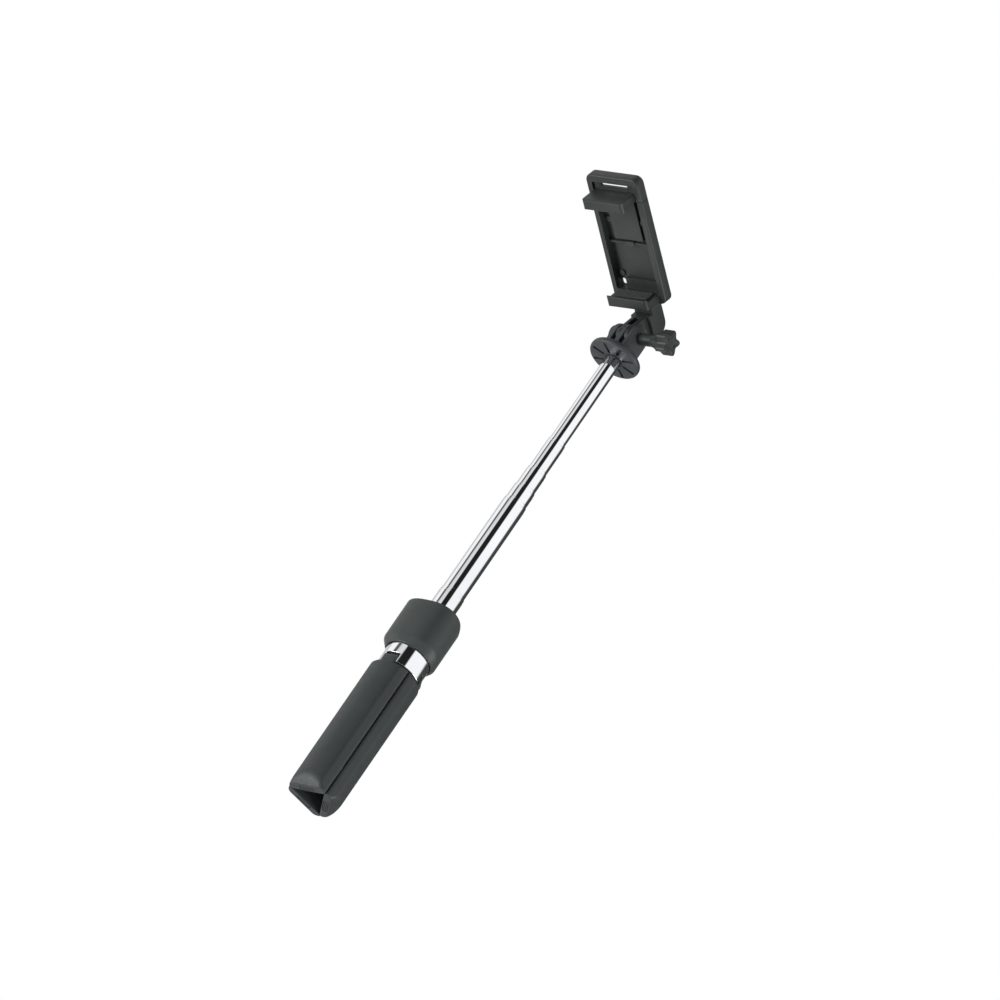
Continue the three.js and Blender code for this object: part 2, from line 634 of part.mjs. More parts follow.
// The tilting arm and the cover behind the frame are one moulding. The arm rises from its two
// prongs, turns a rounded elbow and runs under the cover.
function clampBack() {
  const backFace = below(CLAMP_DEPTH) - GAP;
  const coverBack = backFace - COVER.depth;
  const armBack = below(CLAMP_DEPTH) - ARM_BEHIND_FRAME;
  const arm = new THREE.Shape();
  arm.moveTo(ARM_FRONT, 0);
  arm.absarc(0, 0, -ARM_BACK, 0.4, Math.PI);
  arm.lineTo(ARM_BACK, armBack + ARM_ELBOW_RADIUS);
  arm.absarc(
    ARM_BACK + ARM_ELBOW_RADIUS, armBack + ARM_ELBOW_RADIUS, ARM_ELBOW_RADIUS, Math.PI,
    1.5 * Math.PI,
  );
  arm.lineTo(along(-2), armBack);
  arm.lineTo(along(3), coverBack + 0.8);
  arm.lineTo(along(COVER.from + 3), coverBack + 0.8);
  arm.lineTo(along(COVER.from + 3), backFace);
  arm.lineTo(along(-GAP), backFace);
  arm.lineTo(along(-GAP), CLAMP_FACE - 0.2);
  arm.lineTo(ARM_FRONT, CLAMP_FACE - 0.2);
  const armBody = prism(arm, -ARM_HALF_WIDTH, ARM_HALF_WIDTH, TO_X);
  const shoulder = prism(arm, -ARM_SHOULDER.halfWidth, ARM_SHOULDER.halfWidth, TO_X)
    .intersect(block(-20, 20, -20, 200, -60, ARM_SHOULDER.start));
  const coverShape = roundedRectangle(
    COVER.halfWidth, along(COVER.from), along(CLAMP_SPLIT), 2.5,
  );
  const cover = bevelled(coverShape, coverBack, backFace + COVER.bevel, COVER.bevel)
    .intersect(block(-20, 20, 0, 200, -60, backFace));
  const cavity = block(
    -COVER.cavityHalfWidth, COVER.cavityHalfWidth, along(COVER.from + COVER.wall + 1),
    along(CLAMP_SPLIT - COVER.wall), coverBack + COVER.wall, backFace + PAST,
  );
  const clearance = rodAlong(
    'x', PRONG_CLEARANCE, -PRONG_SLOT_HALF_WIDTH, PRONG_SLOT_HALF_WIDTH, [0, 0], ROUND,
  );
  const prongSlot = block(
    -PRONG_SLOT_HALF_WIDTH, PRONG_SLOT_HALF_WIDTH, -20, 20, -PRONG_SLOT_LENGTH, 0,
  );
  const hole = rodAlong('x', PIVOT_HOLE_RADIUS, -20, 20, [0, 0], 16);
  const counterbore = COVER_SCREWS.headHeight + GAP;
  const holes = screwHoles(
    COVER_SCREWS.x, COVER_SCREWS.rows, COVER_SCREWS.radius + GAP, coverBack - PAST,
    backFace + PAST,
  );
  const headHoles = screwHoles(
    COVER_SCREWS.x, COVER_SCREWS.rows, COVER_SCREWS.headRadius + 0.15, coverBack - PAST,
    coverBack + counterbore,
  );
  return cut(
    joined(cover, armBody, shoulder), cavity, clearance, prongSlot, hole, ...holes, ...headHoles,
  );
}

function screw({ headRadius, headHeight, radius }, base, length) {
  return turned([
    [0, base], [headRadius, base], [headRadius, base + headHeight],
    [radius, base + headHeight], [radius, base + headHeight + length],
    [0, base + headHeight + length],
  ], SMALL_ROUND);
}

function coverScrews() {
  const coverBack = below(CLAMP_DEPTH) - GAP - COVER.depth;
  const meshes = [];
  for (const row of COVER_SCREWS.rows) {
    for (const side of [-1, 1]) {
      const body = screw(COVER_SCREWS, coverBack, 5.8)
        .translate([side * COVER_SCREWS.x, along(row), 0]);
      meshes.push(piece(`cover_screw_${meshes.length + 1}`, STEEL, body));
    }
  }
  return meshes;
}

function runnerPlate() {
  const top = below(CLAMP_DEPTH) - GAP;
  const bottom = top - RUNNER.thickness;
  const plate = block(
    -RUNNER.halfWidth, RUNNER.halfWidth, along(RUNNER.from), along(RUNNER.to), bottom, top,
  );
  const ears = block(
    -RUNNER.earHalfWidth, RUNNER.earHalfWidth, along(RUNNER.to - RUNNER.ear), along(RUNNER.to),
    bottom, top,
  );
  const middle = (SLIDER_BOSS.from + SLIDER_BOSS.to) / 2;
  const holes = screwHoles(
    RUNNER_SCREWS.x, [middle], RUNNER_SCREWS.radius + GAP, bottom - PAST, top + PAST,
  );
  return cut(joined(plate, ears), ...holes);
}

function runnerScrews() {
  const top = below(CLAMP_DEPTH) - GAP - RUNNER.thickness - GAP - RUNNER_SCREWS.headHeight;
  const middle = (SLIDER_BOSS.from + SLIDER_BOSS.to) / 2;
  return [-1, 1].map((side, index) => {
    const body = screw(RUNNER_SCREWS, top, RUNNER_SCREWS.length + 1)
      .translate([side * RUNNER_SCREWS.x, along(middle), 0]);
    return piece(`runner_screw_${index + 1}`, STEEL, body);
  });
}

function jawSpring(number, side) {
  const start = along(SPRING.from);
  const end = along(SPRING.to);
  const depth = below(CLAMP_DEPTH) - GAP - SPRING.radius - 0.2;
  const ring = turned([
    [SPRING.hole, 0], [SPRING.radius, 0], [SPRING.radius, end - start],
    [SPRING.hole, end - start],
  ], SMALL_ROUND);
  const body = ring.rotate([-90, 0, 0]).translate([side * SPRING.x, start, depth]);
  return piece(`jaw_spring_${number}`, STEEL, body);
}

function phoneClamp() {
  const clamp = groupOf(
    piece('clamp_back', CLAMP_PLASTIC, clampBack()),
    piece('clamp_frame', CLAMP_PLASTIC, clampFrame()),
    piece('lower_jaw_pad', RUBBER, jawPad(LOWER_JAW, 1)),
    piece('upper_jaw', CLAMP_PLASTIC, upperJaw()),
    piece('upper_jaw_pad', RUBBER, jawPad(UPPER_JAW, -1)),
    piece('runner_plate', STEEL, runnerPlate()),
    jawSpring(1, -1),
    jawSpring(2, 1),
    ...coverScrews(),
    ...runnerScrews(),
  );
  clamp.rotation.x = degrees(CLAMP_TILT);
  clamp.position.z = PIVOT_Z;
  return clamp;
}

// ---------------------------------------------------------------- assembly

const handle = groupOf(
  ...LEG_ANGLES.map((angle, index) => leg(index + 1, angle)),
  piece('hinge_hub', COLLAR_PLASTIC, hingeHub()),
  piece('chrome_sleeve', CHROME, chromeSleeve()),
  piece('collar_shell', COLLAR_PLASTIC, collarShell()),
);

const pole = groupOf(...[1, 2, 3, 4, 5, 6].flatMap(tube));

const head = groupOf(
  piece('head_mount', HEAD_PLASTIC, headMount()),
  piece('hex_nut', STEEL, hexNut()),
  piece('thumb_bolt', STEEL, thumbBolt()),
  piece('star_knob', KNOB_PLASTIC, starKnob()),
);

const selfieStick = groupOf(handle, pole, head, phoneClamp());

export default selfieStick;
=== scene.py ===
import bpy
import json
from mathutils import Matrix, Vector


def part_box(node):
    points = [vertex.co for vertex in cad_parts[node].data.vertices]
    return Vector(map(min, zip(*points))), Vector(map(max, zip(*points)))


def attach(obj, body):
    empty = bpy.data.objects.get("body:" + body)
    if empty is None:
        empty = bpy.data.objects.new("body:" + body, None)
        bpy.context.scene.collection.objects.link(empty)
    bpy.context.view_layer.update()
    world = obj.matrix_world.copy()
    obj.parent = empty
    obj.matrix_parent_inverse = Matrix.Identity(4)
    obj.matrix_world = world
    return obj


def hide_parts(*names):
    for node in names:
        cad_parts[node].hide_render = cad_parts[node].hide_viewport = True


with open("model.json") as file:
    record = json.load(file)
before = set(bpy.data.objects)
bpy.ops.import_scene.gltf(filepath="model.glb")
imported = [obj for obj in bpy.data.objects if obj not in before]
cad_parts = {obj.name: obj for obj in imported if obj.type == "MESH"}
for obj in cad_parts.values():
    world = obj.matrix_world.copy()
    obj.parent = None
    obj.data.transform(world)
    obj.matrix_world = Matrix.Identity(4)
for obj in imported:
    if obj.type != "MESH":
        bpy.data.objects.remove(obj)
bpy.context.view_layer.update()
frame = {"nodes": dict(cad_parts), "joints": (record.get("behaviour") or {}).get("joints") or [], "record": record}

import json
import math

import bmesh
import bpy
from mathutils import Matrix, Vector

# The detailed shapes are worked out in millimetres and stored in metres.
MM = 0.001
TAU = 2 * math.pi

joints = {joint["name"]: joint for joint in frame["joints"]}


def span(node):
    """A CAD node's lowest and highest corner, in millimetres."""
    low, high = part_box(node)
    return Vector(low) / MM, Vector(high) / MM


# ------------------------------------------------------------ measures taken from the frame

LEGS = (1, 2, 3)
TUBES = (1, 2, 3, 4, 5, 6)

hinge_points = {leg: Vector(joints[f"leg_{leg}_hinge"]["pos_m"]) / MM for leg in LEGS}
LEG_ANGLES = {leg: math.atan2(point.y, point.x) for leg, point in hinge_points.items()}
HINGE_RADIUS = hinge_points[1].to_2d().length
HINGE_Z = hinge_points[1].z
LEG_LUG_TOP = span("leg_1")[1].z

SLEEVE_BOTTOM = span("chrome_sleeve")[0].z
SLEEVE_TOP = span("chrome_sleeve")[1].z
SLEEVE_RADIUS = span("chrome_sleeve")[1].x
COLLAR_BOTTOM = span("collar_shell")[0].z
COLLAR_TOP = span("collar_shell")[1].z
HUB_TOP = span("hinge_hub")[1].z

DISC_BOTTOM = span("tube_6")[1].z + 0.3
DISC_RADIUS = span("head_mount")[1].y
PIVOT = Vector(joints["clamp_tilt"]["pos_m"]) / MM
FINGER_RADIUS = span("head_mount")[1].z - PIVOT.z
NUT_BOSS_END = span("hex_nut")[0].x
KNOB_START = span("star_knob")[0].x
KNOB_END = span("star_knob")[1].x

# The clamp's own axes: x along the tilt pivot, y along the jaws' travel, z out of its face.
CLAMP_X = Vector(joints["clamp_tilt"]["axis"])
CLAMP_Y = Vector(joints["jaw_slide"]["axis"])
CLAMP_AXES = Matrix((CLAMP_X, CLAMP_Y, CLAMP_X.cross(CLAMP_Y))).transposed()
CLAMP_PLACE = Matrix.Translation(PIVOT) @ CLAMP_AXES.to_4x4()
CLAMP_HALF_WIDTH = span("clamp_frame")[1].x

# ------------------------------------------------------------ mesh tools

ALONG_X = Matrix(((0, 0, 1, 0), (1, 0, 0, 0), (0, 1, 0, 0), (0, 0, 0, 1)))
ALONG_Y = Matrix(((0, 1, 0, 0), (0, 0, 1, 0), (1, 0, 0, 0), (0, 0, 0, 1)))
NEAR = 1e-5  # points closer than this are one point
WELD = 0.002  # the same, after a cut or a join
RIM_STEPS = 3


def rounded(corners, steps=4):
    """A closed outline from corners (a, b) or (a, b, radius), each radius made into an arc."""
    points = []
    for index, corner in enumerate(corners):
        here = Vector(corner[:2])
        radius = corner[2] if len(corner) > 2 else 0
        if radius == 0:
            points.append(here)
            continue
        to_last = (Vector(corners[index - 1][:2]) - here).normalized()
        to_next = (Vector(corners[(index + 1) % len(corners)][:2]) - here).normalized()
        half = to_last.angle(to_next) / 2
        centre = here + (to_last + to_next).normalized() * radius / math.sin(half)
        start = here + to_last * radius / math.tan(half) - centre
        end = here + to_next * radius / math.tan(half) - centre
        turn = math.atan2(start.x * end.y - start.y * end.x, start.dot(end))
        for step in range(steps + 1):
            angle = turn * step / steps
            cos, sin = math.cos(angle), math.sin(angle)
            points.append(centre + Vector((start.x * cos - start.y * sin,
                                           start.x * sin + start.y * cos)))
    return points


def arc(centre, radius, start, end, steps):
    """Points on a circle's arc, with its angles in degrees."""
    points = []
    for step in range(steps + 1):
        angle = math.radians(start + (end - start) * step / steps)
        points.append((centre[0] + radius * math.cos(angle),
                       centre[1] + radius * math.sin(angle)))
    return points


def inset(outline, distance):
    """The outline moved inwards by a distance, along its corners' normals."""
    area = sum(a[0] * b[1] - a[1] * b[0]
               for a, b in zip(outline, outline[1:] + outline[:1]))
    side = 1 if area > 0 else -1
    points = []
    for index, here in enumerate(outline):
        here = Vector(here)
        before = (here - Vector(outline[index - 1])).normalized()
        after = (Vector(outline[(index + 1) % len(outline)]) - here).normalized()
        normals = [Vector((edge.y, -edge.x)) * side for edge in (before, after)]
        outward = (normals[0] + normals[1]) / (1 + normals[0].dot(normals[1]))
        points.append(here - outward * distance)
    return points


def loft(loops):
    """A closed solid through closed loops of equal length, with a flat cap on each end."""
    bm = bmesh.new()
    rings = [[bm.verts.new(point) for point in loop] for loop in loops]
    count = len(rings[0])
    for low, high in zip(rings, rings[1:]):
        for i in range(count):
            j = (i + 1) % count
            bm.faces.new((low[i], low[j], high[j], high[i]))
    bm.faces.new(rings[0])
    bm.faces.new(rings[-1])
    bmesh.ops.recalc_face_normals(bm, faces=bm.faces)
    return bm


def slab(outline, low, high, edge, place=Matrix()):
    """An outline extruded between two heights, with its two rims rounded."""
    outline = [Vector(point[:2]) for point in outline]
    levels = []
    for step in range(RIM_STEPS + 1):
        angle = math.pi / 2 * step / RIM_STEPS
        levels.append((edge * (1 - math.sin(angle)), edge * (1 - math.cos(angle))))
    loops = [[place @ Vector((p.x, p.y, low + rise)) for p in inset(outline, depth)]
             for depth, rise in levels]
    loops += [[place @ Vector((p.x, p.y, high - rise)) for p in inset(outline, depth)]
              for depth, rise in reversed(levels)]
    return loft(loops)


def ringed(sections, place=Matrix()):
    """A closed ring or solid about Z, through (angle, section) pairs. A section is a closed
    outline of (radius, z) points."""
    bm = bmesh.new()
    rings = []
    for angle, section in sections:
        ring = [place @ Vector((r * math.cos(angle), r * math.sin(angle), z))
                for r, z in section]
        rings.append([bm.verts.new(point) for point in ring])
    radii = [point[0] for point in sections[0][1]]
    count = len(radii)
    for index, ring in enumerate(rings):
        after = rings[(index + 1) % len(rings)]
        for i in range(count):
            j = (i + 1) % count
            if radii[i] > NEAR or radii[j] > NEAR:
                bm.faces.new((ring[i], ring[j], after[j], after[i]))
    bmesh.ops.remove_doubles(bm, verts=bm.verts, dist=NEAR)
    bmesh.ops.recalc_face_normals(bm, faces=bm.faces)
    return bm


def revolve(section_at, sides, place=Matrix()):
    """A solid about Z whose section may change round the axis."""
    angles = [TAU * side / sides for side in range(sides)]
    return ringed([(angle, section_at(angle)) for angle in angles], place)


def turned(corners, sides, place=Matrix(), steps=4):
    """A solid of revolution from the corners of its section."""
    section = rounded(corners, steps)
    return revolve(lambda angle: section, sides, place)


def temporary(bm):
    """An object that holds a solid for the boolean modifiers."""
    mesh = bpy.data.meshes.new("temporary")
    bm.to_mesh(mesh)
    bm.free()
    obj = bpy.data.objects.new("temporary", mesh)
    bpy.context.collection.objects.link(obj)
    return obj


def combined(bm, tools, operation):
    """The solid after each tool is cut from it or joined to it."""
    base = temporary(bm)
    others = [temporary(tool) for tool in tools]
    for other in others:
        step = base.modifiers.new("boolean", "BOOLEAN")
        step.operation = operation
        step.solver = "EXACT"
        step.object = other
    graph = bpy.context.evaluated_depsgraph_get()
    mesh = bpy.data.meshes.new_from_object(base.evaluated_get(graph))
    result = bmesh.new()
    result.from_mesh(mesh)
    bmesh.ops.remove_doubles(result, verts=result.verts, dist=WELD)
    bmesh.ops.dissolve_degenerate(result, edges=result.edges, dist=WELD)
    bpy.data.meshes.remove(mesh)
    for obj in [base, *others]:
        used = obj.data
        bpy.data.objects.remove(obj)
        bpy.data.meshes.remove(used)
    return result


def cut(bm, *tools):
    return combined(bm, tools, "DIFFERENCE")


def joined(bm, *tools):
    return combined(bm, tools, "UNION")


def rod(radius, low, high, place=Matrix(), sides=32, edge=0):
    """A round bar between two heights."""
    corners = [(0, low), (radius, low, edge), (radius, high, edge), (0, high)]
    return turned(corners, sides, place, RIM_STEPS)


def piece(name, bm, body, nodes, slot, bevel=0, place=Matrix(), crease=32):
    """A finished piece in metres: it rides on a body and stands for CAD nodes."""
    bm.transform(Matrix.Scale(MM, 4) @ place)
    mesh = bpy.data.meshes.new(name)
    bm.to_mesh(mesh)
    bm.free()
    mesh.shade_smooth()
    mesh.set_sharp_from_angle(angle=math.radians(crease))
    obj = bpy.data.objects.new(name, mesh)
    bpy.context.collection.objects.link(obj)
    if bevel:
        edges = obj.modifiers.new("edges", "BEVEL")
        edges.width = bevel * MM
        edges.segments = 2
        edges.limit_method = "ANGLE"
        edges.angle_limit = math.radians(crease)
        edges.harden_normals = True
    mesh.materials.append(materials[slot])
    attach(obj, body)
    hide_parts(*nodes)


# ------------------------------------------------------------ materials

# Pattern scales, in cells per metre, and bump heights, in metres.
CLOUD_SCALE = 60
GLOSS_SCALE = 350
GRAIN_SCALE = 5200
GRAIN_HEIGHT = 0.00006
DUST_SCALE = 900
RUBBER_GLOSS_SCALE = 500
RUBBER_GRAIN_SCALE = 2600
RUBBER_GRAIN_HEIGHT = 0.00012
HAZE_SCALE = 45
DRAWN_LINE_HEIGHT = 0.00002
NOISE_RANGE = (0.3, 0.7)  # where most of the noise's values lie
WORN_FROM, WORN_TO = 0.52, 0.62  # pointiness at a convex edge
WORN_SHARE = 0.35


class Nodes:
    """A small helper that adds and links shader nodes in one material."""

    def __init__(self, name):
        self.material = bpy.data.materials.new(name)
        self.material.use_nodes = True
        self.tree = self.material.node_tree
        self.shader = self.tree.nodes["Principled BSDF"]
        self.place = self.add("ShaderNodeTexCoord").outputs["Object"]

    def add(self, kind, **settings):
        node = self.tree.nodes.new(kind)
        for key, value in settings.items():
            setattr(node, key, value)
        return node

    def link(self, source, target):
        self.tree.links.new(source, target)

    def stretched(self, scale):
        mapping = self.add("ShaderNodeMapping")
        mapping.inputs["Scale"].default_value = scale
        self.link(self.place, mapping.inputs["Vector"])
        return mapping.outputs["Vector"]

    def noise(self, scale, detail=2, where=None):
        node = self.add("ShaderNodeTexNoise")
        node.inputs["Scale"].default_value = scale
        node.inputs["Detail"].default_value = detail
        self.link(where or self.place, node.inputs["Vector"])
        return node.outputs["Fac"]

    def ranged(self, value, low, high):
        node = self.add("ShaderNodeMapRange")
        node.inputs["From Min"].default_value = NOISE_RANGE[0]
        node.inputs["From Max"].default_value = NOISE_RANGE[1]
        node.inputs["To Min"].default_value = low
        node.inputs["To Max"].default_value = high
        self.link(value, node.inputs["Value"])
        return node.outputs["Result"]

    def mixed(self, factor, first, second):
        node = self.add("ShaderNodeMix", data_type="RGBA")
        self.link(factor, node.inputs["Factor"])
        for socket, colour in ((node.inputs["A"], first), (node.inputs["B"], second)):
            if isinstance(colour, bpy.types.NodeSocket):
                self.link(colour, socket)
            else:
                socket.default_value = (*colour, 1)
        return node.outputs["Result"]

    def bump(self, height, strength, distance):
        node = self.add("ShaderNodeBump")
        node.inputs["Strength"].default_value = strength
        node.inputs["Distance"].default_value = distance
        self.link(height, node.inputs["Height"])
        return node.outputs["Normal"]


def tinted(colour, factor):
    """A colour made lighter or darker."""
    return tuple(min(1, channel * factor) for channel in colour)


def plastic(name, colour, roughness, grain=0.25):
    """Satin moulded plastic: cloudy colour, pale worn edges and a fine spark-eroded grain."""
    nodes = Nodes(name)
    cloud = nodes.ranged(nodes.noise(CLOUD_SCALE, 3), 0, 1)
    body = nodes.mixed(cloud, tinted(colour, 0.93), tinted(colour, 1.07))
    edge = nodes.add("ShaderNodeValToRGB")
    edge.color_ramp.elements[0].position = WORN_FROM
    edge.color_ramp.elements[1].position = WORN_TO
    nodes.link(nodes.add("ShaderNodeNewGeometry").outputs["Pointiness"], edge.inputs["Fac"])
    worn = nodes.add("ShaderNodeMath", operation="MULTIPLY")
    worn.inputs[1].default_value = WORN_SHARE
    nodes.link(edge.outputs["Color"], worn.inputs[0])
    nodes.link(nodes.mixed(worn.outputs[0], body, tinted(colour, 2.2)),
               nodes.shader.inputs["Base Color"])
    nodes.link(nodes.ranged(nodes.noise(GLOSS_SCALE, 3), roughness - 0.05, roughness + 0.06),
               nodes.shader.inputs["Roughness"])
    nodes.link(nodes.bump(nodes.noise(GRAIN_SCALE), grain, GRAIN_HEIGHT),
               nodes.shader.inputs["Normal"])
    nodes.shader.inputs["Specular IOR Level"].default_value = 0.25
    return nodes.material


def rubber(name, colour):
    """Matt rubber with a coarser grain and pale dust in random patches."""
    nodes = Nodes(name)
    dust = nodes.ranged(nodes.noise(DUST_SCALE, 4), 0, 0.35)
    nodes.link(nodes.mixed(dust, colour, tinted(colour, 2.2)),
               nodes.shader.inputs["Base Color"])
    nodes.link(nodes.ranged(nodes.noise(RUBBER_GLOSS_SCALE), 0.72, 0.88),
               nodes.shader.inputs["Roughness"])
    nodes.link(nodes.bump(nodes.noise(RUBBER_GRAIN_SCALE, 3), 0.45, RUBBER_GRAIN_HEIGHT),
               nodes.shader.inputs["Normal"])
    return nodes.material


def metal(name, colour, roughness, lines, line_scale):
    """Polished or drawn metal. The line scale sets whether its fine marks run along the pole."""
    nodes = Nodes(name)
    nodes.shader.inputs["Metallic"].default_value = 1
    haze = nodes.ranged(nodes.noise(HAZE_SCALE, 3), 0, 1)
    nodes.link(nodes.mixed(haze, tinted(colour, 0.97), tinted(colour, 1.03)),
               nodes.shader.inputs["Base Color"])
    drawn = nodes.noise(1, 3, nodes.stretched(line_scale))
    nodes.link(nodes.ranged(drawn, roughness * 0.8, roughness * 1.3),
               nodes.shader.inputs["Roughness"])
    nodes.link(nodes.bump(drawn, lines, DRAWN_LINE_HEIGHT), nodes.shader.inputs["Normal"])
    return nodes.material


materials = {
    "leg_plastic": plastic("leg_plastic", (0.036, 0.042, 0.042), 0.46),
    "collar_plastic": plastic("collar_plastic", (0.043, 0.050, 0.049), 0.48),
    "head_plastic": plastic("head_plastic", (0.040, 0.044, 0.047), 0.42),
    "clamp_plastic": plastic("clamp_plastic", (0.024, 0.028, 0.026), 0.42, 0.18),
    "knob_plastic": plastic("knob_plastic", (0.027, 0.032, 0.030), 0.42),
    "guide_plastic": plastic("guide_plastic", (0.55, 0.55, 0.53), 0.5, 0.1),
    "rubber": rubber("rubber", (0.022, 0.025, 0.025)),
    "chrome": metal("chrome", (0.80, 0.81, 0.83), 0.06, 0.03, (2500, 2500, 12)),
    "steel": metal("steel", (0.46, 0.47, 0.48), 0.28, 0.15, (3000, 3000, 3000)),
}


def dress_cad_nodes():
    """The CAD nodes that stay take the procedural material of their slot."""
    slots = {part["node"]: part["material_slot"] for part in frame["record"]["subparts"]}
    for node, obj in frame["nodes"].items():
        for place in obj.material_slots:
            place.material = materials[slots[node]]


dress_cad_nodes()


# ------------------------------------------------------------ handle: legs, hub, sleeve, collar

LEG_TOP = 90.3
LEG_CREST_RADIUS = 14.9
LEG_CORNER_RADIUS = 15.4
LEG_SEAM_RADIUS = 14.4
LEG_GROOVE_RADIUS = 13.2
LEG_SEAM_ANGLE = math.radians(57.5)
LEG_FACE_ANGLE = math.radians(37)
LEG_INNER_FACE = 6.2
LEG_INNER_REACH = 9.9
LEG_CORNER_END = 12.4
LEG_GAP = 0.2  # from the leg's side to the plane between two legs
LEG_ROUNDING = 0.55
LEG_FACE_STEPS = 60
LEG_INNER_STEPS = 8
LEG_BORE_RADIUS = 8.35
LEG_BORE_START = 22.5
LEG_VALLEY = {"depth": 0.6, "reach": 1.1}
LEG_RIM = {"over": 0.2, "depth": 1.6, "reach": 1.3, "blend": 0.4}
LEG_SHOULDER = {"radius": 12.4, "rise": 3.3, "share": 0.96, "blend": 0.3}
LEG_SHOULDER_START = 85.5
LUG = {"start": 84, "inside": 1.8, "outside": 3.3, "half_width": 4.1}
FOOT_EDGE = 10.5
FOOT_BEVEL_HEIGHT = 5.8
FOOT_BLEND = 2.4
FOOT_PAD = {"from": 6.9, "to": 9.7, "half_width": 4.6, "height": 1.8, "gap": 0.2}
PIN_RADIUS = 0.8
PIN_HALF_LENGTH = 5.1
HUB_RADIUS = 12.2
NOTCH_TOP = 97
NOTCH_HALF_WIDTH = 4.4
NOTCH_FLOOR_RADIUS = 8.2
SLEEVE_WALL = 0.5
COLLAR_RADIUS = 16.13
COLLAR_CORNER_RISE = 1.33
COLLAR_LIP_RADIUS = 14.2
COLLAR_HUB_BORE = 12.5
POLE_BORE_RADIUS = 7.75


THIRD = math.radians(60)  # half of a leg's share of the circle


def soft_min(a, b, blend):
    """The smaller of two values, with a rounded change from one to the other."""
    near = max(blend - abs(a - b), 0) / blend
    return min(a, b) - near * near * blend / 4


def crown_radius(angle):
    """The leg's gently crowned outer face, as a distance from the pole's axis."""
    corner_x = LEG_CORNER_RADIUS * math.cos(LEG_FACE_ANGLE)
    corner_y = LEG_CORNER_RADIUS * math.sin(LEG_FACE_ANGLE)
    rise = LEG_CREST_RADIUS - corner_x
    face = (corner_y ** 2 + rise ** 2) / (2 * rise)
    back = face - LEG_CREST_RADIUS
    return -back * math.cos(angle) + math.sqrt(face ** 2 - (back * math.sin(angle)) ** 2)


def leg_radius(angle, z):
    """The folded leg's outer surface: crowned face, bevelled flank, foot and shoulder."""
    flank = LEG_SEAM_RADIUS / math.cos(abs(angle) - LEG_SEAM_ANGLE)
    from_seam = (THIRD - abs(angle)) * LEG_SEAM_RADIUS
    valley = LEG_VALLEY["depth"] * math.exp(-(from_seam / LEG_VALLEY["reach"]) ** 2)
    radius = soft_min(crown_radius(angle), flank, 0.35) - valley
    slope = (LEG_CORNER_RADIUS - FOOT_EDGE) / FOOT_BEVEL_HEIGHT
    foot = (FOOT_EDGE + slope * z) / math.cos(angle)
    rim = (LEG_CORNER_RADIUS + LEG_RIM["over"]
           - LEG_RIM["depth"] * math.exp(-z / LEG_RIM["reach"]))
    radius = soft_min(soft_min(radius, foot, FOOT_BLEND), rim, LEG_RIM["blend"])
    share = max(0, z - LEG_SHOULDER_START) / (LEG_TOP - LEG_SHOULDER_START)
    fall = math.sqrt(max(0, 1 - LEG_SHOULDER["share"] * share ** 2))
    shoulder = LEG_SHOULDER["radius"] + LEG_SHOULDER["rise"] * fall
    return soft_min(radius, shoulder, LEG_SHOULDER["blend"])


def beside_seam(radius, side):
    """A point beside the plane between two legs, at 60 degrees from the leg's middle."""
    return Vector((radius * math.cos(THIRD) + LEG_GAP * math.sin(THIRD),
                   side * (radius * math.sin(THIRD) - LEG_GAP * math.cos(THIRD))))


def leg_outline(z, rounding=0):
    """The leg's section: its outer face set in by the rounding, and a blunt inner corner."""
    outer = []
    for step in range(LEG_FACE_STEPS + 1):
        angle = LEG_SEAM_ANGLE * (2 * step / LEG_FACE_STEPS - 1)
        radius = leg_radius(angle, z) - rounding
        outer.append(Vector((radius * math.cos(angle), radius * math.sin(angle))))
    groove = min(LEG_GROOVE_RADIUS, outer[0].length - 0.3)
    corner = min(LEG_CORNER_END, groove - 0.2)
    inner = [Vector((LEG_INNER_FACE, LEG_INNER_REACH * k / LEG_INNER_STEPS))
             for k in range(LEG_INNER_STEPS, -LEG_INNER_STEPS - 1, -1)]
    return [beside_seam(corner, -1), beside_seam(groove, -1), *outer,
            beside_seam(groove, 1), beside_seam(corner, 1), *inner]


def leg_heights():
    """Heights of the leg's sections: close together at the foot, the ledge and the shoulder."""
    foot = [0.6 + 0.5 * step for step in range(14)]
    middle = [10, 16, 24, 32, 45, 60, 75, 84]
    shoulder = [LEG_SHOULDER_START + 0.4 * step for step in range(11)]
    return foot + middle + shoulder


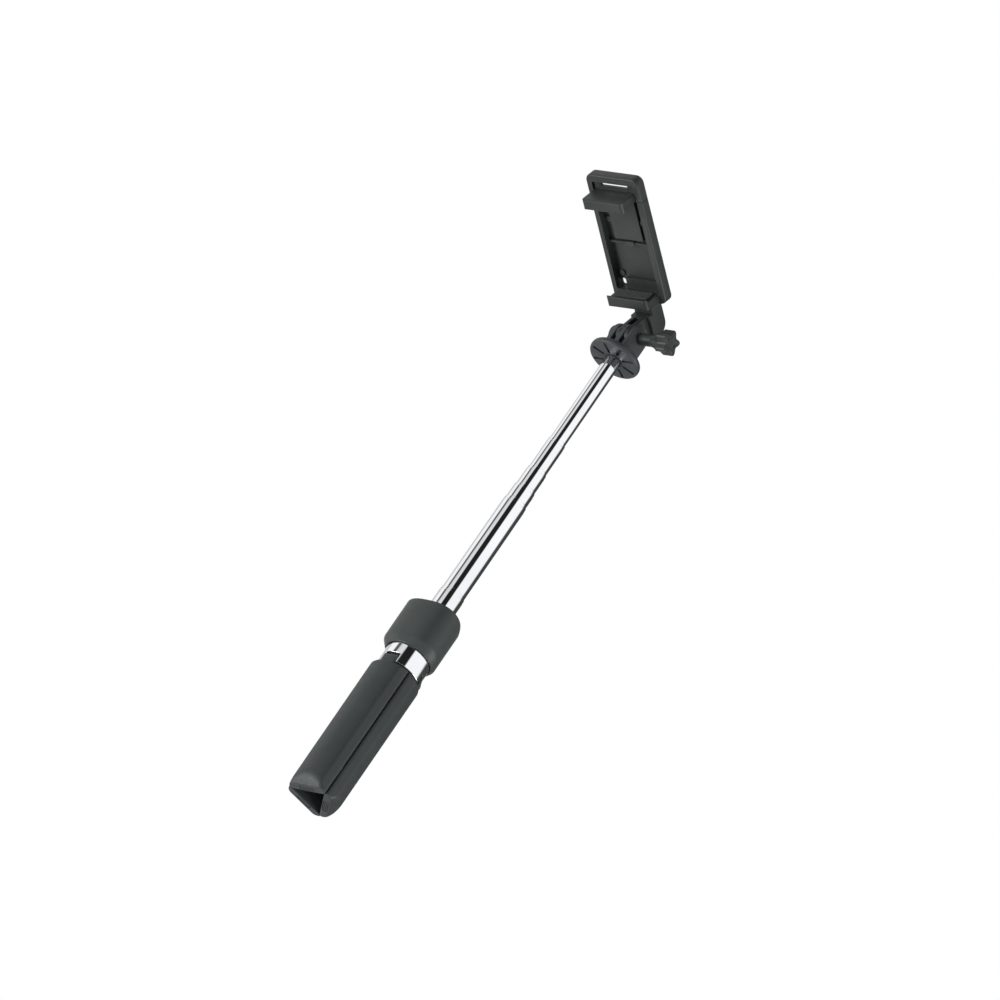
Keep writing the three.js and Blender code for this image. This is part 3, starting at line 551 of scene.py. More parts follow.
def leg_solid():
    """A folded leg: a lofted shell with its hinge lug, the pole's bore and the pad's pocket."""
    rims = [math.pi / 2 * step / 4 for step in range(5)]
    levels = [(LEG_ROUNDING * (1 - math.cos(a)), LEG_ROUNDING * (1 - math.sin(a))) for a in rims]
    levels += [(z, 0) for z in leg_heights()]
    levels += [(LEG_TOP - LEG_ROUNDING * (1 - math.cos(a)), LEG_ROUNDING * (1 - math.sin(a)))
               for a in reversed(rims)]
    loops = [[p.to_3d() + Vector((0, 0, z)) for p in leg_outline(z, depth)]
             for z, depth in levels]
    inside, outside = HINGE_RADIUS - LUG["inside"], HINGE_RADIUS + LUG["outside"]
    lug_outline = rounded([(LUG["start"], inside), (LEG_LUG_TOP, inside, 1.7),
                           (LEG_LUG_TOP, outside, 1.4), (LUG["start"], outside)])
    lug = slab(lug_outline, -LUG["half_width"], LUG["half_width"], 0.5, ALONG_Y)
    pin_hole = rod(PIN_RADIUS + 0.3, -9, 9,
                   Matrix.Translation((HINGE_RADIUS, 0, HINGE_Z)) @ ALONG_Y)
    gap = FOOT_PAD["gap"]
    low, high = FOOT_PAD["from"] - gap, FOOT_PAD["to"] + gap
    half = FOOT_PAD["half_width"] + gap
    bore = rod(LEG_BORE_RADIUS, LEG_BORE_START, LEG_TOP + 10, sides=96)
    pocket = slab(rounded([(low, -half, 0.8), (high, -half, 0.8), (high, half, 0.8),
                           (low, half, 0.8)]), -2, FOOT_PAD["height"] + 0.3, 0)
    return cut(joined(loft(loops), lug), bore, pin_hole, pocket)


def foot_pad():
    """A rubber block whose end face has two grip grooves."""
    low, high, half = FOOT_PAD["from"], FOOT_PAD["to"], FOOT_PAD["half_width"]
    body = slab(rounded([(low, -half, 0.7), (high, -half, 0.7), (high, half, 0.7),
                         (low, half, 0.7)]), 0.02, FOOT_PAD["height"], 0.3)
    grooves = [rod(0.28, -6, 6, Matrix.Translation((x, 0, 0)) @ ALONG_Y, 16)
               for x in (low + 0.9, high - 0.9)]
    return cut(body, *grooves)


def make_legs():
    for leg, angle in LEG_ANGLES.items():
        place = Matrix.Rotation(angle, 4, "Z")
        body = f"leg_{leg}"
        piece(f"leg_{leg}_shell", leg_solid(), body, [f"leg_{leg}"], "leg_plastic",
              place=place, crease=38)
        piece(f"leg_{leg}_rubber_foot", foot_pad(), body, [f"leg_{leg}_foot_pad"], "rubber",
              place=place)
        pin_place = place @ Matrix.Translation((HINGE_RADIUS, 0, HINGE_Z)) @ ALONG_Y
        pin = rod(PIN_RADIUS, -PIN_HALF_LENGTH, PIN_HALF_LENGTH, pin_place, 32, 0.2)
        piece(f"leg_{leg}_pin", pin, "handle", [f"leg_{leg}_hinge_pin"], "steel")


def hub_solid():
    """The block inside the sleeve: it holds the pole and has a notch for each leg's lug."""
    body = turned([(POLE_BORE_RADIUS, SLEEVE_BOTTOM, 0.3), (HUB_RADIUS, SLEEVE_BOTTOM, 0.5),
                   (HUB_RADIUS, HUB_TOP, 0.6), (POLE_BORE_RADIUS, HUB_TOP, 0.3)], 120)
    tools = []
    for angle in LEG_ANGLES.values():
        turn = Matrix.Rotation(angle, 4, "Z")
        outline = rounded([(SLEEVE_BOTTOM - 2, NOTCH_FLOOR_RADIUS),
                           (NOTCH_TOP, NOTCH_FLOOR_RADIUS, 0.8), (NOTCH_TOP, 16),
                           (SLEEVE_BOTTOM - 2, 16)])
        tools.append(slab(outline, -NOTCH_HALF_WIDTH, NOTCH_HALF_WIDTH, 0, turn @ ALONG_Y))
        hole_place = turn @ Matrix.Translation((HINGE_RADIUS, 0, HINGE_Z)) @ ALONG_Y
        reach = PIN_HALF_LENGTH + 0.3
        tools.append(rod(PIN_RADIUS + 0.2, -reach, reach, hole_place, 24))
    return cut(body, *tools)


def sleeve_solid():
    """A thin chrome ring whose lower edge steps up over each leg's lug."""
    half = math.asin(NOTCH_HALF_WIDTH / SLEEVE_RADIUS)
    wall = TAU / 3 - 2 * half
    turns = []
    for angle in sorted(a % TAU for a in LEG_ANGLES.values()):
        turns += [(angle - half + 2 * half * k / 10, NOTCH_TOP) for k in range(11)]
        turns += [(angle + half + wall * k / 30, SLEEVE_BOTTOM) for k in range(31)]
    inner = SLEEVE_RADIUS - SLEEVE_WALL
    return ringed([(angle, rounded([(inner, bottom, 0.15), (SLEEVE_RADIUS, bottom, 0.22),
                                    (SLEEVE_RADIUS, SLEEVE_TOP, 0.22),
                                    (inner, SLEEVE_TOP, 0.15)]))
                   for angle, bottom in turns])


def collar_radius(angle):
    """The collar's rounded triangle: its three corners stand over the seams of the legs."""
    return COLLAR_RADIUS + COLLAR_CORNER_RISE * math.cos(3 * (angle - LEG_ANGLES[1] - THIRD))


def collar_section(angle):
    outer = collar_radius(angle)
    lip_bore = SLEEVE_RADIUS + 0.3
    ceiling = HUB_TOP + 0.5
    return rounded([
        (lip_bore, COLLAR_BOTTOM, 0.2), (COLLAR_LIP_RADIUS, COLLAR_BOTTOM, 0.5),
        (outer, COLLAR_BOTTOM + 4.2, 3.2), (outer, COLLAR_TOP - 0.9, 0.7),
        (POLE_BORE_RADIUS + 0.7, COLLAR_TOP, 0.3), (POLE_BORE_RADIUS, COLLAR_TOP - 0.7, 0.2),
        (POLE_BORE_RADIUS, ceiling), (COLLAR_HUB_BORE, ceiling),
        (COLLAR_HUB_BORE, SLEEVE_TOP + 0.3), (lip_bore, SLEEVE_TOP + 0.3),
    ], 5)


def make_handle():
    make_legs()
    piece("hub", hub_solid(), "handle", ["hinge_hub"], "collar_plastic", bevel=0.15)
    piece("sleeve", sleeve_solid(), "handle", ["chrome_sleeve"], "chrome")
    piece("collar", revolve(collar_section, 180), "handle", ["collar_shell"],
          "collar_plastic")


# ------------------------------------------------------------ pole

def tube_solid(node):
    """A thin tube with a rolled neck at its top that grips the next tube."""
    low, high = span(node)
    radius = high.x
    neck = radius - 0.1
    inner = radius - 0.3
    lip = radius - 0.48
    return turned([(inner, low.z, 0.1), (radius, low.z, 0.1), (radius, high.z - 2.4, 0.3),
                   (neck, high.z - 2.2, 0.3), (neck, high.z, 0.3), (lip, high.z, 0.1),
                   (lip, high.z - 1.6, 0.05), (inner, high.z - 1.9, 0.05)], 128, steps=3)


def bush_solid(node):
    """A flanged guide bush with a groove round its rim and a hole through its middle."""
    low, high = span(node)
    radius = high.x
    flange = low.z + 2.2
    return turned([(1, low.z, 0.2), (radius, low.z, 0.3), (radius, low.z + 0.8, 0.1),
                   (radius - 0.2, low.z + 0.9, 0.1), (radius - 0.2, low.z + 1.3, 0.1),
                   (radius, low.z + 1.4, 0.1), (radius, flange, 0.2),
                   (radius - 0.6, flange, 0.1), (radius - 0.6, high.z, 0.3),
                   (1, high.z, 0.2)], 64)


def make_pole():
    for tube in TUBES:
        body = "handle" if tube == 1 else f"tube_{tube}"
        node = f"tube_{tube}"
        piece(f"pole_section_{tube}", tube_solid(node), body, [node], "chrome", crease=60)
        bush = f"tube_{tube}_guide_bush"
        piece(f"pole_bush_{tube}", bush_solid(bush), body, [bush], "guide_plastic")


# ------------------------------------------------------------ head and thumbscrew

FINGER = 3
HEAD_HALF_WIDTH = 7.5
FINGER_GAP_DEPTH = 10.4
PIVOT_HOLE = 2.8
DISC_THICKNESS = 3.7
DISC_RELIEF = 0.35  # the disc's middle stands back from its rim by this much
DISC_SLOTS = 8
DISC_SLOT = {"from": 5.6, "to": 13.3, "half_width": 0.9, "depth": 1.3}
SPIGOT_LENGTH = 16
BOSS_RADIUS = 5.8
NUT = {"flats": 8, "thickness": 4, "face_radius": 4.1, "corner_radius": 4.8}
NUT_POCKET = {"flats": 8.6, "depth": 4.3}
BOLT_THREAD = {"crest": 2.5, "root": 2.25, "pitch": 0.8, "turns": 16}
BOLT_CORE = 1.9
BOLT_SHOULDER = 9
STAR_POINTS = 5
STAR_TIP = 7.2
STAR_VALLEY = 4.8
KNOB_BORE = 2.2
KNOB_NECK = 3.4
KNOB_NECK_END = 8.4
KNOB_FLARE_END = 13
KNOB_CROWN_START = 15
ON_PIVOT = Matrix.Translation(PIVOT) @ ALONG_X


def hexagon(flats):
    """The corners of a hexagon that measures flats across its flat sides."""
    half_side = math.radians(30)
    radius = flats / 2 / math.cos(half_side)
    angles = [half_side + TAU / 6 * k for k in range(6)]
    return [(radius * math.cos(a), radius * math.sin(a)) for a in angles]


def head_solid():
    """The slotted disc with its spigot in the pole, the three fingers and the nut's boss."""
    top = DISC_BOTTOM + DISC_THICKNESS
    middle = DISC_BOTTOM + DISC_RELIEF
    spigot = span("tube_6")[1].x - 0.6
    disc = turned([
        (0, DISC_BOTTOM - SPIGOT_LENGTH), (spigot, DISC_BOTTOM - SPIGOT_LENGTH, 0.4),
        (spigot, middle), (5, middle, 0.2), (5.3, DISC_BOTTOM, 0.2),
        (DISC_RADIUS, DISC_BOTTOM, 1.4), (DISC_RADIUS, top, 1.5), (0, top),
    ], 144)
    floor = top - PIVOT.z
    sides = [(-FINGER_RADIUS, floor - 1), (FINGER_RADIUS, floor - 1)]
    outline = [*sides, *arc((0, 0), FINGER_RADIUS, 0, 180, 48)]
    fingers = slab(outline, -HEAD_HALF_WIDTH, HEAD_HALF_WIDTH, 0.5, ON_PIVOT)
    boss = turned([(0, -HEAD_HALF_WIDTH + 1), (0, NUT_BOSS_END),
                   (BOSS_RADIUS, NUT_BOSS_END, 0.6), (BOSS_RADIUS, -HEAD_HALF_WIDTH + 1)],
                  96, ON_PIVOT)
    tools = []
    gap_floor = PIVOT.z - FINGER_GAP_DEPTH
    for side in (-1, 1):
        low, high = side * FINGER - FINGER / 2, side * FINGER + FINGER / 2
        gap = rounded([(gap_floor, low, 0.7), (PIVOT.z + 12, low), (PIVOT.z + 12, high),
                       (gap_floor, high, 0.7)])
        tools.append(slab(gap, -20, 20, 0, ALONG_Y))
    tools.append(rod(PIVOT_HOLE, -20, 20, ON_PIVOT, 48))
    tools.append(slab(hexagon(NUT_POCKET["flats"]), NUT_BOSS_END - 1,
                      NUT_BOSS_END + NUT_POCKET["depth"], 0, ON_PIVOT))
    start, end, half = DISC_SLOT["from"], DISC_SLOT["to"], DISC_SLOT["half_width"]
    outline = rounded([(start, -half, 0.8), (end, -half, 0.8), (end, half, 0.8),
                       (start, half, 0.8)])
    for slot in range(DISC_SLOTS):
        turn = Matrix.Rotation(TAU * slot / DISC_SLOTS, 4, "Z")
        tools.append(slab(outline, DISC_BOTTOM - 1, DISC_BOTTOM + DISC_SLOT["depth"], 0, turn))
    return cut(joined(disc, fingers, boss), *tools)


def nut_solid():
    """A hex nut with its corners chamfered."""
    low, high = NUT_BOSS_END, NUT_BOSS_END + NUT["thickness"]
    nut = slab(hexagon(NUT["flats"]), low, high, 0, ON_PIVOT)
    face, corner = NUT["face_radius"], NUT["corner_radius"]
    cone = turned([(0, low - 0.1), (face, low - 0.1), (corner, low + 0.7),
                   (corner, high - 0.7), (face, high + 0.1), (0, high + 0.1)], 72, ON_PIVOT)
    rounded_nut = combined(nut, [cone], "INTERSECT")
    return cut(rounded_nut, rod(PIVOT_HOLE, -20, 20, ON_PIVOT, 48))


def bolt_solid():
    """The knob's bolt: its thread is a row of grooves, and its thin end sits in the knob."""
    low, high = span("thumb_bolt")
    crest, root, pitch = BOLT_THREAD["crest"], BOLT_THREAD["root"], BOLT_THREAD["pitch"]
    start = low.x + 0.6
    grooves = []
    for turn in range(BOLT_THREAD["turns"]):
        x = start + turn * pitch
        grooves += [(crest, x), (root, x + pitch / 2)]
    thread_end = start + BOLT_THREAD["turns"] * pitch
    return turned([(0, low.x), (BOLT_CORE, low.x, 0.2), *grooves, (crest, thread_end),
                   (crest, BOLT_SHOULDER), (BOLT_CORE, BOLT_SHOULDER),
                   (BOLT_CORE, high.x, 0.3), (0, high.x)], 64, ON_PIVOT)


def star_radius(angle):
    """The knob's head: five rounded points with hollow flutes between them."""
    lobe = 0.5 + 0.5 * math.cos(STAR_POINTS * (angle - math.radians(45)))
    return STAR_VALLEY + (STAR_TIP - STAR_VALLEY) * lobe ** 1.3


def knob_section(angle):
    head = star_radius(angle)
    flare = 4.2 + 0.6 * (head - STAR_VALLEY)
    counterbore = BOLT_SHOULDER + 0.4
    return rounded([
        (PIVOT_HOLE, KNOB_START, 0.2), (KNOB_NECK, KNOB_START, 0.4),
        (KNOB_NECK, KNOB_START + KNOB_NECK_END, 2.5),
        (flare, KNOB_START + KNOB_FLARE_END, 1.5), (head, KNOB_START + KNOB_CROWN_START, 0.8),
        (head, KNOB_END, 0.9), (head - 2, KNOB_END - 0.1, 0.3), (2.6, KNOB_END - 0.6, 0.3),
        (0, KNOB_END - 0.6), (0, KNOB_END - 3), (KNOB_BORE, KNOB_END - 3),
        (KNOB_BORE, counterbore), (PIVOT_HOLE, counterbore),
    ])


def make_head():
    piece("head_block", head_solid(), "head", ["head_mount"], "head_plastic", bevel=0.2)
    piece("nut", nut_solid(), "head", ["hex_nut"], "steel", bevel=0.08)
    piece("bolt", bolt_solid(), "knob", ["thumb_bolt"], "steel")
    piece("knob", revolve(knob_section, 180, ON_PIVOT), "knob", ["star_knob"],
          "knob_plastic", crease=45)


# ------------------------------------------------------------ phone clamp, in its own axes

CLAMP_START = 13.4
CLAMP_LENGTH = 75.8
CLAMP_FACE = -15.7
CLAMP_DEPTH = 6.4
CLAMP_CORNER = 4
CLAMP_EDGE = 1.0
CLAMP_SPLIT = 62
CLAMP_RIM = 3.4
RECESS_DEPTH = 4.7
RECESS_START = 6.4
STEP_SIDE = -8.6
STEP_END = 12.5
STEP_HEIGHT = 2.5
RIB = {"from": 33.4, "to": 34.7, "height": 1.8}
RIB_BOSS = {"from": 32.6, "to": 35.2, "height": 2.3, "half_width": 3.2}
RAIL_HALF_WIDTH = 4
CORNER_HOLE = {"left": -14.1, "right": -10.9, "from": 6.5, "to": 10.6}
SCREW_BOSS_RADIUS = 1.7
LOWER_JAW = {"from": 1.6, "to": 6.2, "reach": 11.6, "lip": 1.6}
UPPER_JAW = {"from": 62.4, "to": 67, "reach": 11.9, "lip": 1.4}
JAW_HALF_WIDTH = 13.6
JAW_FOOT = 2
SLIDER_START = 36.2
SLIDER_HALF_WIDTH = 9.5
SLIDER_THICKNESS = 1.5
END_RECESS = 1.5
END_ROOF = 3.2
BOSS_MIDDLE = 37.75
COVER_START = 11
COVER_END = 61.9
COVER_DEPTH = 4.6
COVER_HALF_WIDTH = 13
SCREW_X = 11.4
SCREW_ROWS = (14.5, 47)
SCREW_HOLE = 0.9
SCREW_HEAD = {"radius": 1.35, "height": 0.9, "hole": 1.5, "depth": 1.1}
RUNNER_SCREW_X = 2.2
RUNNER_THICKNESS = 1.4
ARM_BEHIND_FRAME = 2.5
ARM_RADIUS = 7.2
ARM_FRONT = 6.6
ARM_HALF_WIDTH = 4.2
ARM_ELBOW = 6.5
SHOULDER_HALF_WIDTH = 6.4
SHOULDER_END = -12.5
PRONG_SLOT = {"half_width": 1.8, "depth": 10.6, "radius": 7.9}
SPRING_X = 8.1
SPRING = {"from": 14, "to": 36.8, "radius": 1.4, "wire": 0.28, "turns": 22}
GAP = 0.3
BACK_FACE = CLAMP_FACE - CLAMP_DEPTH - GAP
COVER_BACK = BACK_FACE - COVER_DEPTH
RECESS_FLOOR = CLAMP_FACE - RECESS_DEPTH


def along(distance):
    """A place along the clamp, from its lower end."""
    return CLAMP_START + distance


def block(half_width, start, end, bottom, top, corner=0, edge=0):
    """A block across the clamp, from start to end along it."""
    low, high = along(start), along(end)
    outline = rounded([(-half_width, low, corner), (half_width, low, corner),
                       (half_width, high, corner), (-half_width, high, corner)], 6)
    return slab(outline, bottom, top, edge)


def upright(radius, x, distance, bottom, top, sides=32):
    return rod(radius, bottom, top, Matrix.Translation((x, along(distance), 0)), sides)


def jaw_plate(jaw, inward):
    """A plate that stands out of the clamp's face, with a lip that keeps the phone in."""
    inner = along(jaw["to"] if inward > 0 else jaw["from"])
    outer = along(jaw["from"] if inward > 0 else jaw["to"])
    end = CLAMP_FACE + jaw["reach"]
    lip = inner + inward * jaw["lip"]
    base = CLAMP_FACE - JAW_FOOT
    outline = rounded([(outer, base), (inner, base), (inner, end - 2.8, 0.7),
                       (lip, end - 1.6, 0.5), (lip, end, 0.6),
                       (outer + inward * 0.5, end, 0.8), (outer, end - 1.6, 0.5)])
    plate = slab(outline, -JAW_HALF_WIDTH, JAW_HALF_WIDTH, 0.5, ALONG_X)
    low, high = base - 1, end
    half = JAW_HALF_WIDTH
    front = slab(rounded([(low, -half), (high, -half, 2.2), (high, half, 2.2), (low, half)], 6),
                 along(-2), along(80), 0, ALONG_Y)
    return combined(plate, [front], "INTERSECT")


def clamp_shell():
    """The outside of the clamp's body, before the jaw's end is split off."""
    return block(CLAMP_HALF_WIDTH, 0, CLAMP_LENGTH, CLAMP_FACE - CLAMP_DEPTH, CLAMP_FACE,
                 CLAMP_CORNER, CLAMP_EDGE)


def frame_solid():
    """The rimmed frame with its recess, its step, its cross rib and the lower jaw."""
    inside = CLAMP_HALF_WIDTH - CLAMP_RIM
    recess = block(inside, RECESS_START, CLAMP_LENGTH + 3, RECESS_FLOOR, CLAMP_FACE + 1, 1)
    beyond = block(20, CLAMP_SPLIT, CLAMP_LENGTH + 4, -40, 0)
    shell = cut(clamp_shell(), recess, beyond)
    floor, top = RECESS_FLOOR, RECESS_FLOOR + STEP_HEIGHT
    low, high, side = along(RECESS_START - 0.5), along(STEP_END), inside + 0.5
    step = rounded([(STEP_SIDE, low), (side, low), (side, high), (STEP_SIDE, high, 1)])
    parts = [
        slab(step, floor - 0.3, top, 0),
        block(inside + 0.3, RIB["from"], RIB["to"], floor - 0.3, floor + RIB["height"]),
        block(RIB_BOSS["half_width"], RIB_BOSS["from"], RIB_BOSS["to"], floor - 0.3,
              floor + RIB_BOSS["height"], 1),
        jaw_plate(LOWER_JAW, 1),
    ]
    tools = [block(RAIL_HALF_WIDTH, SLIDER_START - 0.1, CLAMP_LENGTH, floor - 5, floor + 1)]
    left, right = CORNER_HOLE["left"], CORNER_HOLE["right"]
    low, high = along(CORNER_HOLE["from"]), along(CORNER_HOLE["to"])
    corner_hole = rounded([(left, low, 1), (right, low, 1), (right, high, 1), (left, high, 1)])
    tools.append(slab(corner_hole, floor - 5, floor + 1, 0))
    for x in (-SCREW_X, SCREW_X):
        for row in SCREW_ROWS:
            parts.append(upright(SCREW_BOSS_RADIUS, x, row, floor - 0.3, floor + 1))
            tools.append(upright(0.95, x, row, CLAMP_FACE - CLAMP_DEPTH - 1, floor + 0.6, 24))
    return cut(joined(shell, *parts), *tools)


def jaw_solid():
    """The sliding jaw: its end bar, its flat slider and the upper jaw's plate."""
    inside = CLAMP_HALF_WIDTH - CLAMP_RIM - GAP
    bottom = RECESS_FLOOR + GAP
    roof = CLAMP_FACE - END_ROOF
    hollow = slab([(along(67.2), roof), (along(73.9), roof), (along(73.9), roof - 4.8),
                   (along(64.6), roof - 4.8)], -13.2, 13.2, 0, ALONG_X)
    bar = cut(clamp_shell(), block(20, -5, CLAMP_SPLIT + GAP, -40, 0),
              block(inside, CLAMP_SPLIT - 3, 71.6, CLAMP_FACE - END_RECESS, CLAMP_FACE + 1, 1),
              hollow, block(9, 68.9, 70.9, -40, 0, 0.6))
    parts = [
        block(SLIDER_HALF_WIDTH, SLIDER_START, UPPER_JAW["from"] + 1, bottom,
              bottom + SLIDER_THICKNESS),
        block(RAIL_HALF_WIDTH - GAP, 36.5, 39, CLAMP_FACE - CLAMP_DEPTH, bottom + 0.5),
        jaw_plate(UPPER_JAW, -1),
    ]
    tools = []
    for x in (-RUNNER_SCREW_X, RUNNER_SCREW_X):
        low = CLAMP_FACE - CLAMP_DEPTH
        tools.append(upright(0.75, x, BOSS_MIDDLE, low - 1, low + 2.4, 24))
    return cut(joined(bar, *parts), *tools)


def pad_solid(jaw, inward):
    """A thin rubber strip with fine ribs across it."""
    inner = along(jaw["to"] if inward > 0 else jaw["from"]) + inward * GAP
    low, high = sorted((inner, inner + inward))
    start, end, half = CLAMP_FACE + 1, CLAMP_FACE + jaw["reach"] - 3.4, JAW_HALF_WIDTH - 2
    outline = rounded([(start, -half, 0.8), (end, -half, 0.8), (end, half, 0.8),
                       (start, half, 0.8)])
    strip = slab(outline, low, high, 0.25, ALONG_Y)
    face = inner + inward
    grooves = [rod(0.3, -15, 15, Matrix.Translation((0, face, z)) @ ALONG_X, 16)
               for z in (CLAMP_FACE + 2.4, CLAMP_FACE + 4, CLAMP_FACE + 5.6, CLAMP_FACE + 7.2)]
    return cut(strip, *grooves)


def back_solid():
    """The tilting arm and the cover behind the frame, in one moulding."""
    arm_back = CLAMP_FACE - CLAMP_DEPTH - ARM_BEHIND_FRAME
    elbow = (ARM_ELBOW - ARM_RADIUS, ARM_ELBOW + arm_back)
    outline = [
        (ARM_FRONT, 0), *arc((0, 0), ARM_RADIUS, 23, 180, 40),
        *arc(elbow, ARM_ELBOW, 180, 270, 20),
        (along(-2), arm_back), (along(3), COVER_BACK + 0.8),
        (along(COVER_START + 3), COVER_BACK + 0.8), (along(COVER_START + 3), BACK_FACE),
        (along(-GAP), BACK_FACE), (along(-GAP), CLAMP_FACE - 0.2), (ARM_FRONT, CLAMP_FACE - 0.2),
    ]
    arm = slab(outline, -ARM_HALF_WIDTH, ARM_HALF_WIDTH, 0.4, ALONG_X)
    shoulder = cut(slab(inset(outline, -0.02), -SHOULDER_HALF_WIDTH, SHOULDER_HALF_WIDTH, 0.7,
                        ALONG_X), block(20, -40, 80, SHOULDER_END, 20))
    cover = cut(block(COVER_HALF_WIDTH, COVER_START, COVER_END, COVER_BACK, BACK_FACE + 3,
                      2.5, 1), block(20, -5, 80, BACK_FACE, 0))
    half, depth = PRONG_SLOT["half_width"], PRONG_SLOT["depth"]
    tools = [
        block(10, COVER_START + 2.3, CLAMP_SPLIT - 1.3, COVER_BACK + 1.3, BACK_FACE + 1, 0.8),
        rod(PRONG_SLOT["radius"], -half, half, ALONG_X, 96),
        slab(rounded([(-depth, -half, 0.6), (20, -half), (20, half), (-depth, half, 0.6)]),
             -20, 20, 0, ALONG_Y),
        rod(PIVOT_HOLE, -20, 20, ALONG_X, 48),
    ]
    for x in (-SCREW_X, SCREW_X):
        for row in SCREW_ROWS:
            tools.append(upright(SCREW_HOLE, x, row, COVER_BACK - 1, BACK_FACE + 1, 24))
            tools.append(upright(SCREW_HEAD["hole"], x, row, COVER_BACK - 1,
                                 COVER_BACK + SCREW_HEAD["depth"]))
    return cut(joined(joined(arm, shoulder), cover), *tools)


def screw_solid(head_radius, head_height, radius, base, length, place):
    """A round-headed screw with a thread and a cross recess; its head is at the bottom."""
    top = base + head_height + length
    grooves = []
    pitch = 0.5
    turns = int(length / pitch) - 1
    for turn in range(turns):
        z = base + head_height + 0.3 + turn * pitch
        grooves += [(radius - 0.13, z), (radius, z + pitch / 2)]
    body = turned([(0, base), (head_radius, base, 0.3), (head_radius, base + head_height),
                   (radius - 0.13, base + head_height), *grooves,
                   (radius - 0.13, top), (0, top)], 40, place)
    reach = head_radius * 0.62
    arms = []
    for wide, tall in ((reach, 0.2), (0.2, reach)):
        cross = [(-wide, -tall), (wide, -tall), (wide, tall), (-wide, tall)]
        arms.append(slab(cross, base - 1, base + head_height * 0.6, 0, place))
    return cut(body, *arms)


def spring_solid(x):
    """A close helical spring that lies along the clamp."""
    start, end = along(SPRING["from"]), along(SPRING["to"])
    depth = BACK_FACE - 1.6
    wire, turns = SPRING["wire"], SPRING["turns"]
    coil = SPRING["radius"] - wire
    steps = 20 * turns
    bm = bmesh.new()
    rings = []
    for step in range(steps + 1):
        share = step / steps
        angle = TAU * turns * share
        pitch = (end - start - 2 * wire) * (share - 0.035 * math.sin(TAU * share))
        out = Vector((math.cos(angle), 0, math.sin(angle)))
        centre = Vector((x, start + wire + pitch, depth)) + out * coil
        rings.append([bm.verts.new(centre + wire * (out * math.cos(TAU * k / 8)
                                                    + Vector((0, math.sin(TAU * k / 8), 0))))
                      for k in range(8)])
    for first, second in zip(rings, rings[1:]):
        for k in range(8):
            j = (k + 1) % 8
            bm.faces.new((first[k], first[j], second[j], second[k]))
    bm.faces.new(rings[0])
    bm.faces.new(rings[-1])
    bmesh.ops.recalc_face_normals(bm, faces=bm.faces)
    return bm


def runner_solid():
    """The steel plate behind the frame that keeps the slider in, with its long slot."""
    top = BACK_FACE
    bottom = top - RUNNER_THICKNESS
    plate = joined(block(6, 15.5, 39, bottom, top, 0.8), block(9.6, 37.4, 39, bottom, top, 0.5))
    tools = [upright(0.7, x, BOSS_MIDDLE, bottom - 1, top + 1, 24)
             for x in (-RUNNER_SCREW_X, RUNNER_SCREW_X)]
    tools.append(block(2.5, 18.5, 33, bottom - 1, bottom + 0.5, 2.4))
    return cut(plate, *tools)


def make_clamp():
    place = CLAMP_PLACE
    piece("clamp_frame_body", frame_solid(), "clamp", ["clamp_frame"], "clamp_plastic",
          bevel=0.3, place=place)
    piece("clamp_arm_and_cover", back_solid(), "clamp", ["clamp_back"], "clamp_plastic",
          bevel=0.25, place=place)
    piece("sliding_jaw", jaw_solid(), "jaw", ["upper_jaw"], "clamp_plastic", bevel=0.3,
          place=place)
    piece("lower_pad", pad_solid(LOWER_JAW, 1), "clamp", ["lower_jaw_pad"], "rubber",
          place=place)
    piece("upper_pad", pad_solid(UPPER_JAW, -1), "jaw", ["upper_jaw_pad"], "rubber",
          place=place)
    piece("runner", runner_solid(), "jaw", ["runner_plate"], "steel", bevel=0.1, place=place)
    for number, x in ((1, -SPRING_X), (2, SPRING_X)):
        piece(f"spring_{number}", spring_solid(x), "clamp", [f"jaw_spring_{number}"], "steel",
              place=place, crease=60)
    number = 0
    for row in SCREW_ROWS:
        for x in (-SCREW_X, SCREW_X):
            number += 1
            screw = screw_solid(SCREW_HEAD["radius"], SCREW_HEAD["height"], 0.7, COVER_BACK, 5.8,
                                Matrix.Translation((x, along(row), 0)))
            piece(f"back_screw_{number}", screw, "clamp", [f"cover_screw_{number}"], "steel",
                  place=place)
    head = BACK_FACE - RUNNER_THICKNESS - GAP - 0.7
    for number, x in ((1, -RUNNER_SCREW_X), (2, RUNNER_SCREW_X)):
        screw = screw_solid(1.1, 0.7, 0.5, head, 3.6,
                            Matrix.Translation((x, along(BOSS_MIDDLE), 0)))
        piece(f"plate_screw_{number}", screw, "jaw", [f"runner_screw_{number}"], "steel",
              place=place)


make_handle()
make_pole()
make_head()
make_clamp()


# ------------------------------------------------------------ camera, lights and floor

VIEW = Vector((0.6124, -0.6124, -0.5))
VIEW_RIGHT = Vector((0.783, 0.382, 0.491))
LENS = 1600
SENSOR = 36
FRAME_HEIGHT = 0.530
AMBIENT = 0.45
FLOOR_HALF_SIZE = 60
FLOOR_HEIGHT = -14
# How bright the surround is at each direction round the object, in degrees from +X.
SURROUND = ((-180, 0.55), (-160, 1.1), (-132, 1.1), (-127, 0.12), (-115, 0.12), (-108, 0.8),
            (-84, 0.9), (-79, 0.017), (-41, 0.017), (-35, 1.15), (40, 1.15), (54, 0.06),
            (112, 0.06), (128, 1.0), (150, 1.0), (180, 0.55))
LIGHT_DISTANCE = 2.5


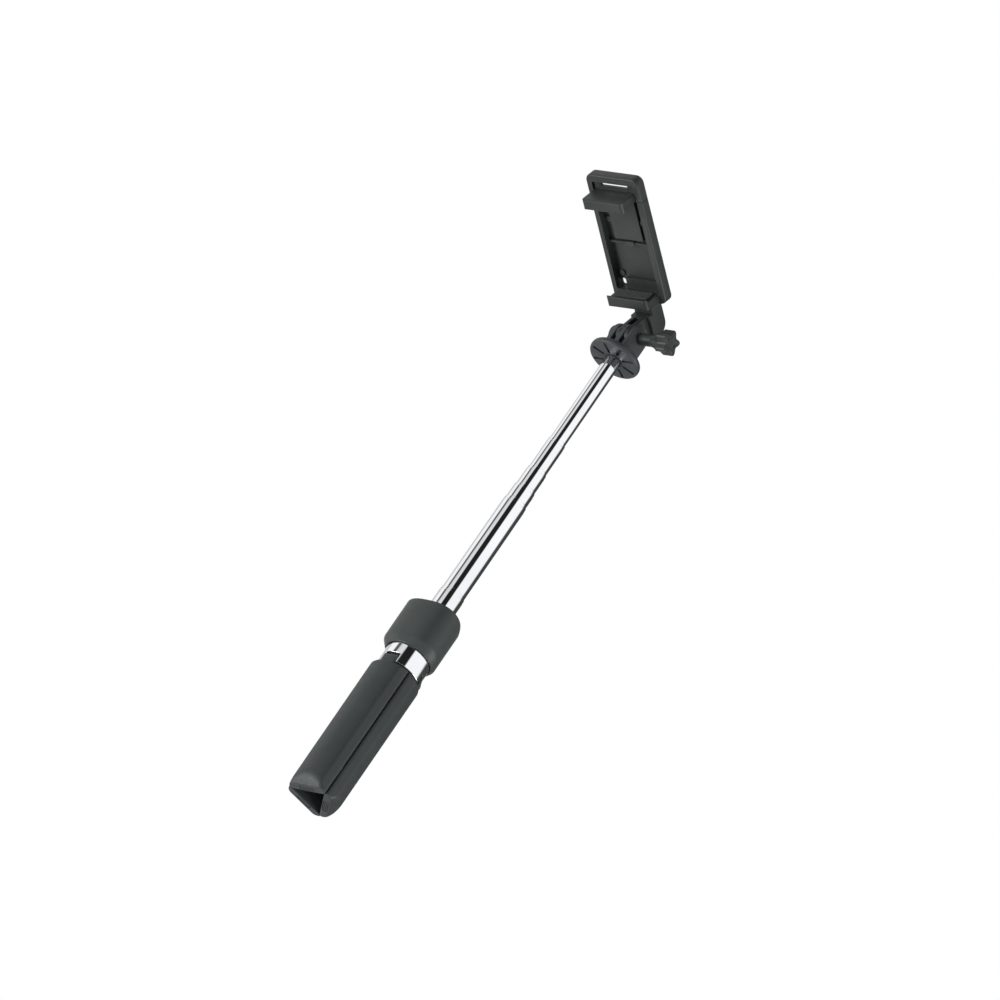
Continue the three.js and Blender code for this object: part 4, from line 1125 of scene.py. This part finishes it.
def make_camera():
    """Looks up at the clamp's face from below, far away, so the view is nearly parallel."""
    back = VIEW.normalized()
    up = back.cross(VIEW_RIGHT).normalized()
    right = up.cross(back)
    level = Vector((0.7071, 0.7071, 0))
    rise = Vector((0.3535, -0.3535, 0.866))
    target = (-7.37 * level + 187.1 * rise - 0.2 * right + 0.15 * up) * MM
    data = bpy.data.cameras.new("camera")
    data.lens = LENS
    data.sensor_width = SENSOR
    data.clip_end = 200
    camera = bpy.data.objects.new("camera", data)
    bpy.context.collection.objects.link(camera)
    turn = Matrix((right, up, back)).transposed().to_4x4()
    camera.matrix_world = Matrix.Translation(target + back * FRAME_HEIGHT * LENS / SENSOR) @ turn
    bpy.context.scene.camera = camera


def make_floor():
    """A white floor, far below the object."""
    half = FLOOR_HALF_SIZE
    bm = bmesh.new()
    corners = [(-half, -half), (half, -half), (half, half), (-half, half)]
    bm.faces.new([bm.verts.new((x, y, FLOOR_HEIGHT)) for x, y in corners])
    mesh = bpy.data.meshes.new("floor")
    bm.to_mesh(mesh)
    bm.free()
    floor = bpy.data.objects.new("floor", mesh)
    bpy.context.collection.objects.link(floor)
    nodes = Nodes("floor")
    nodes.shader.inputs["Base Color"].default_value = (0.9, 0.9, 0.9, 1)
    nodes.shader.inputs["Roughness"].default_value = 0.9
    mesh.materials.append(nodes.material)


def make_world():
    """A white surround that shades to darker bands beside and behind the object."""
    world = bpy.data.worlds.new("studio")
    world.use_nodes = True
    bpy.context.scene.world = world
    tree = world.node_tree
    background = tree.nodes["Background"]
    place = tree.nodes.new("ShaderNodeTexCoord")
    split = tree.nodes.new("ShaderNodeSeparateXYZ")
    tree.links.new(place.outputs["Generated"], split.inputs["Vector"])
    angle = tree.nodes.new("ShaderNodeMath")
    angle.operation = "ARCTAN2"
    tree.links.new(split.outputs["Y"], angle.inputs[0])
    tree.links.new(split.outputs["X"], angle.inputs[1])
    share = tree.nodes.new("ShaderNodeMapRange")
    share.inputs["From Min"].default_value = -math.pi
    share.inputs["From Max"].default_value = math.pi
    tree.links.new(angle.outputs[0], share.inputs["Value"])
    bands = tree.nodes.new("ShaderNodeValToRGB")
    elements = bands.color_ramp.elements
    while len(elements) < len(SURROUND):
        elements.new(0.5)
    for element, (degrees, value) in zip(elements, SURROUND):
        element.position = (degrees + 180) / 360
        element.color = (value, value, value, 1)
    tree.links.new(share.outputs["Result"], bands.inputs["Fac"])
    path = tree.nodes.new("ShaderNodeLightPath")
    colour = bands.outputs["Color"]
    for ray, value in (("Is Diffuse Ray", AMBIENT), ("Is Camera Ray", 1)):
        choice = tree.nodes.new("ShaderNodeMix")
        choice.data_type = "RGBA"
        choice.inputs["B"].default_value = (value, value, value, 1)
        tree.links.new(path.outputs[ray], choice.inputs["Factor"])
        tree.links.new(colour, choice.inputs["A"])
        colour = choice.outputs["Result"]
    tree.links.new(colour, background.inputs["Color"])


def make_light(name, direction, size, power):
    """An area light that looks at the object from its direction."""
    data = bpy.data.lights.new(name, "AREA")
    data.size = size
    data.energy = power
    light = bpy.data.objects.new(name, data)
    bpy.context.collection.objects.link(light)
    towards = Vector(direction).normalized()
    middle = Vector((0, 0, 0.2))
    light.location = middle + towards * LIGHT_DISTANCE
    light.rotation_euler = towards.to_track_quat("Z", "Y").to_euler()


make_camera()
make_floor()
make_world()
make_light("left", (-0.5, -0.8, -0.55), 1.5, 60)
make_light("right", (0.75, 0.5, -0.3), 1.5, 50)
make_light("below", (-0.35, 0.15, -0.92), 1.2, 16)
bpy.context.scene.view_settings.view_transform = "Standard"
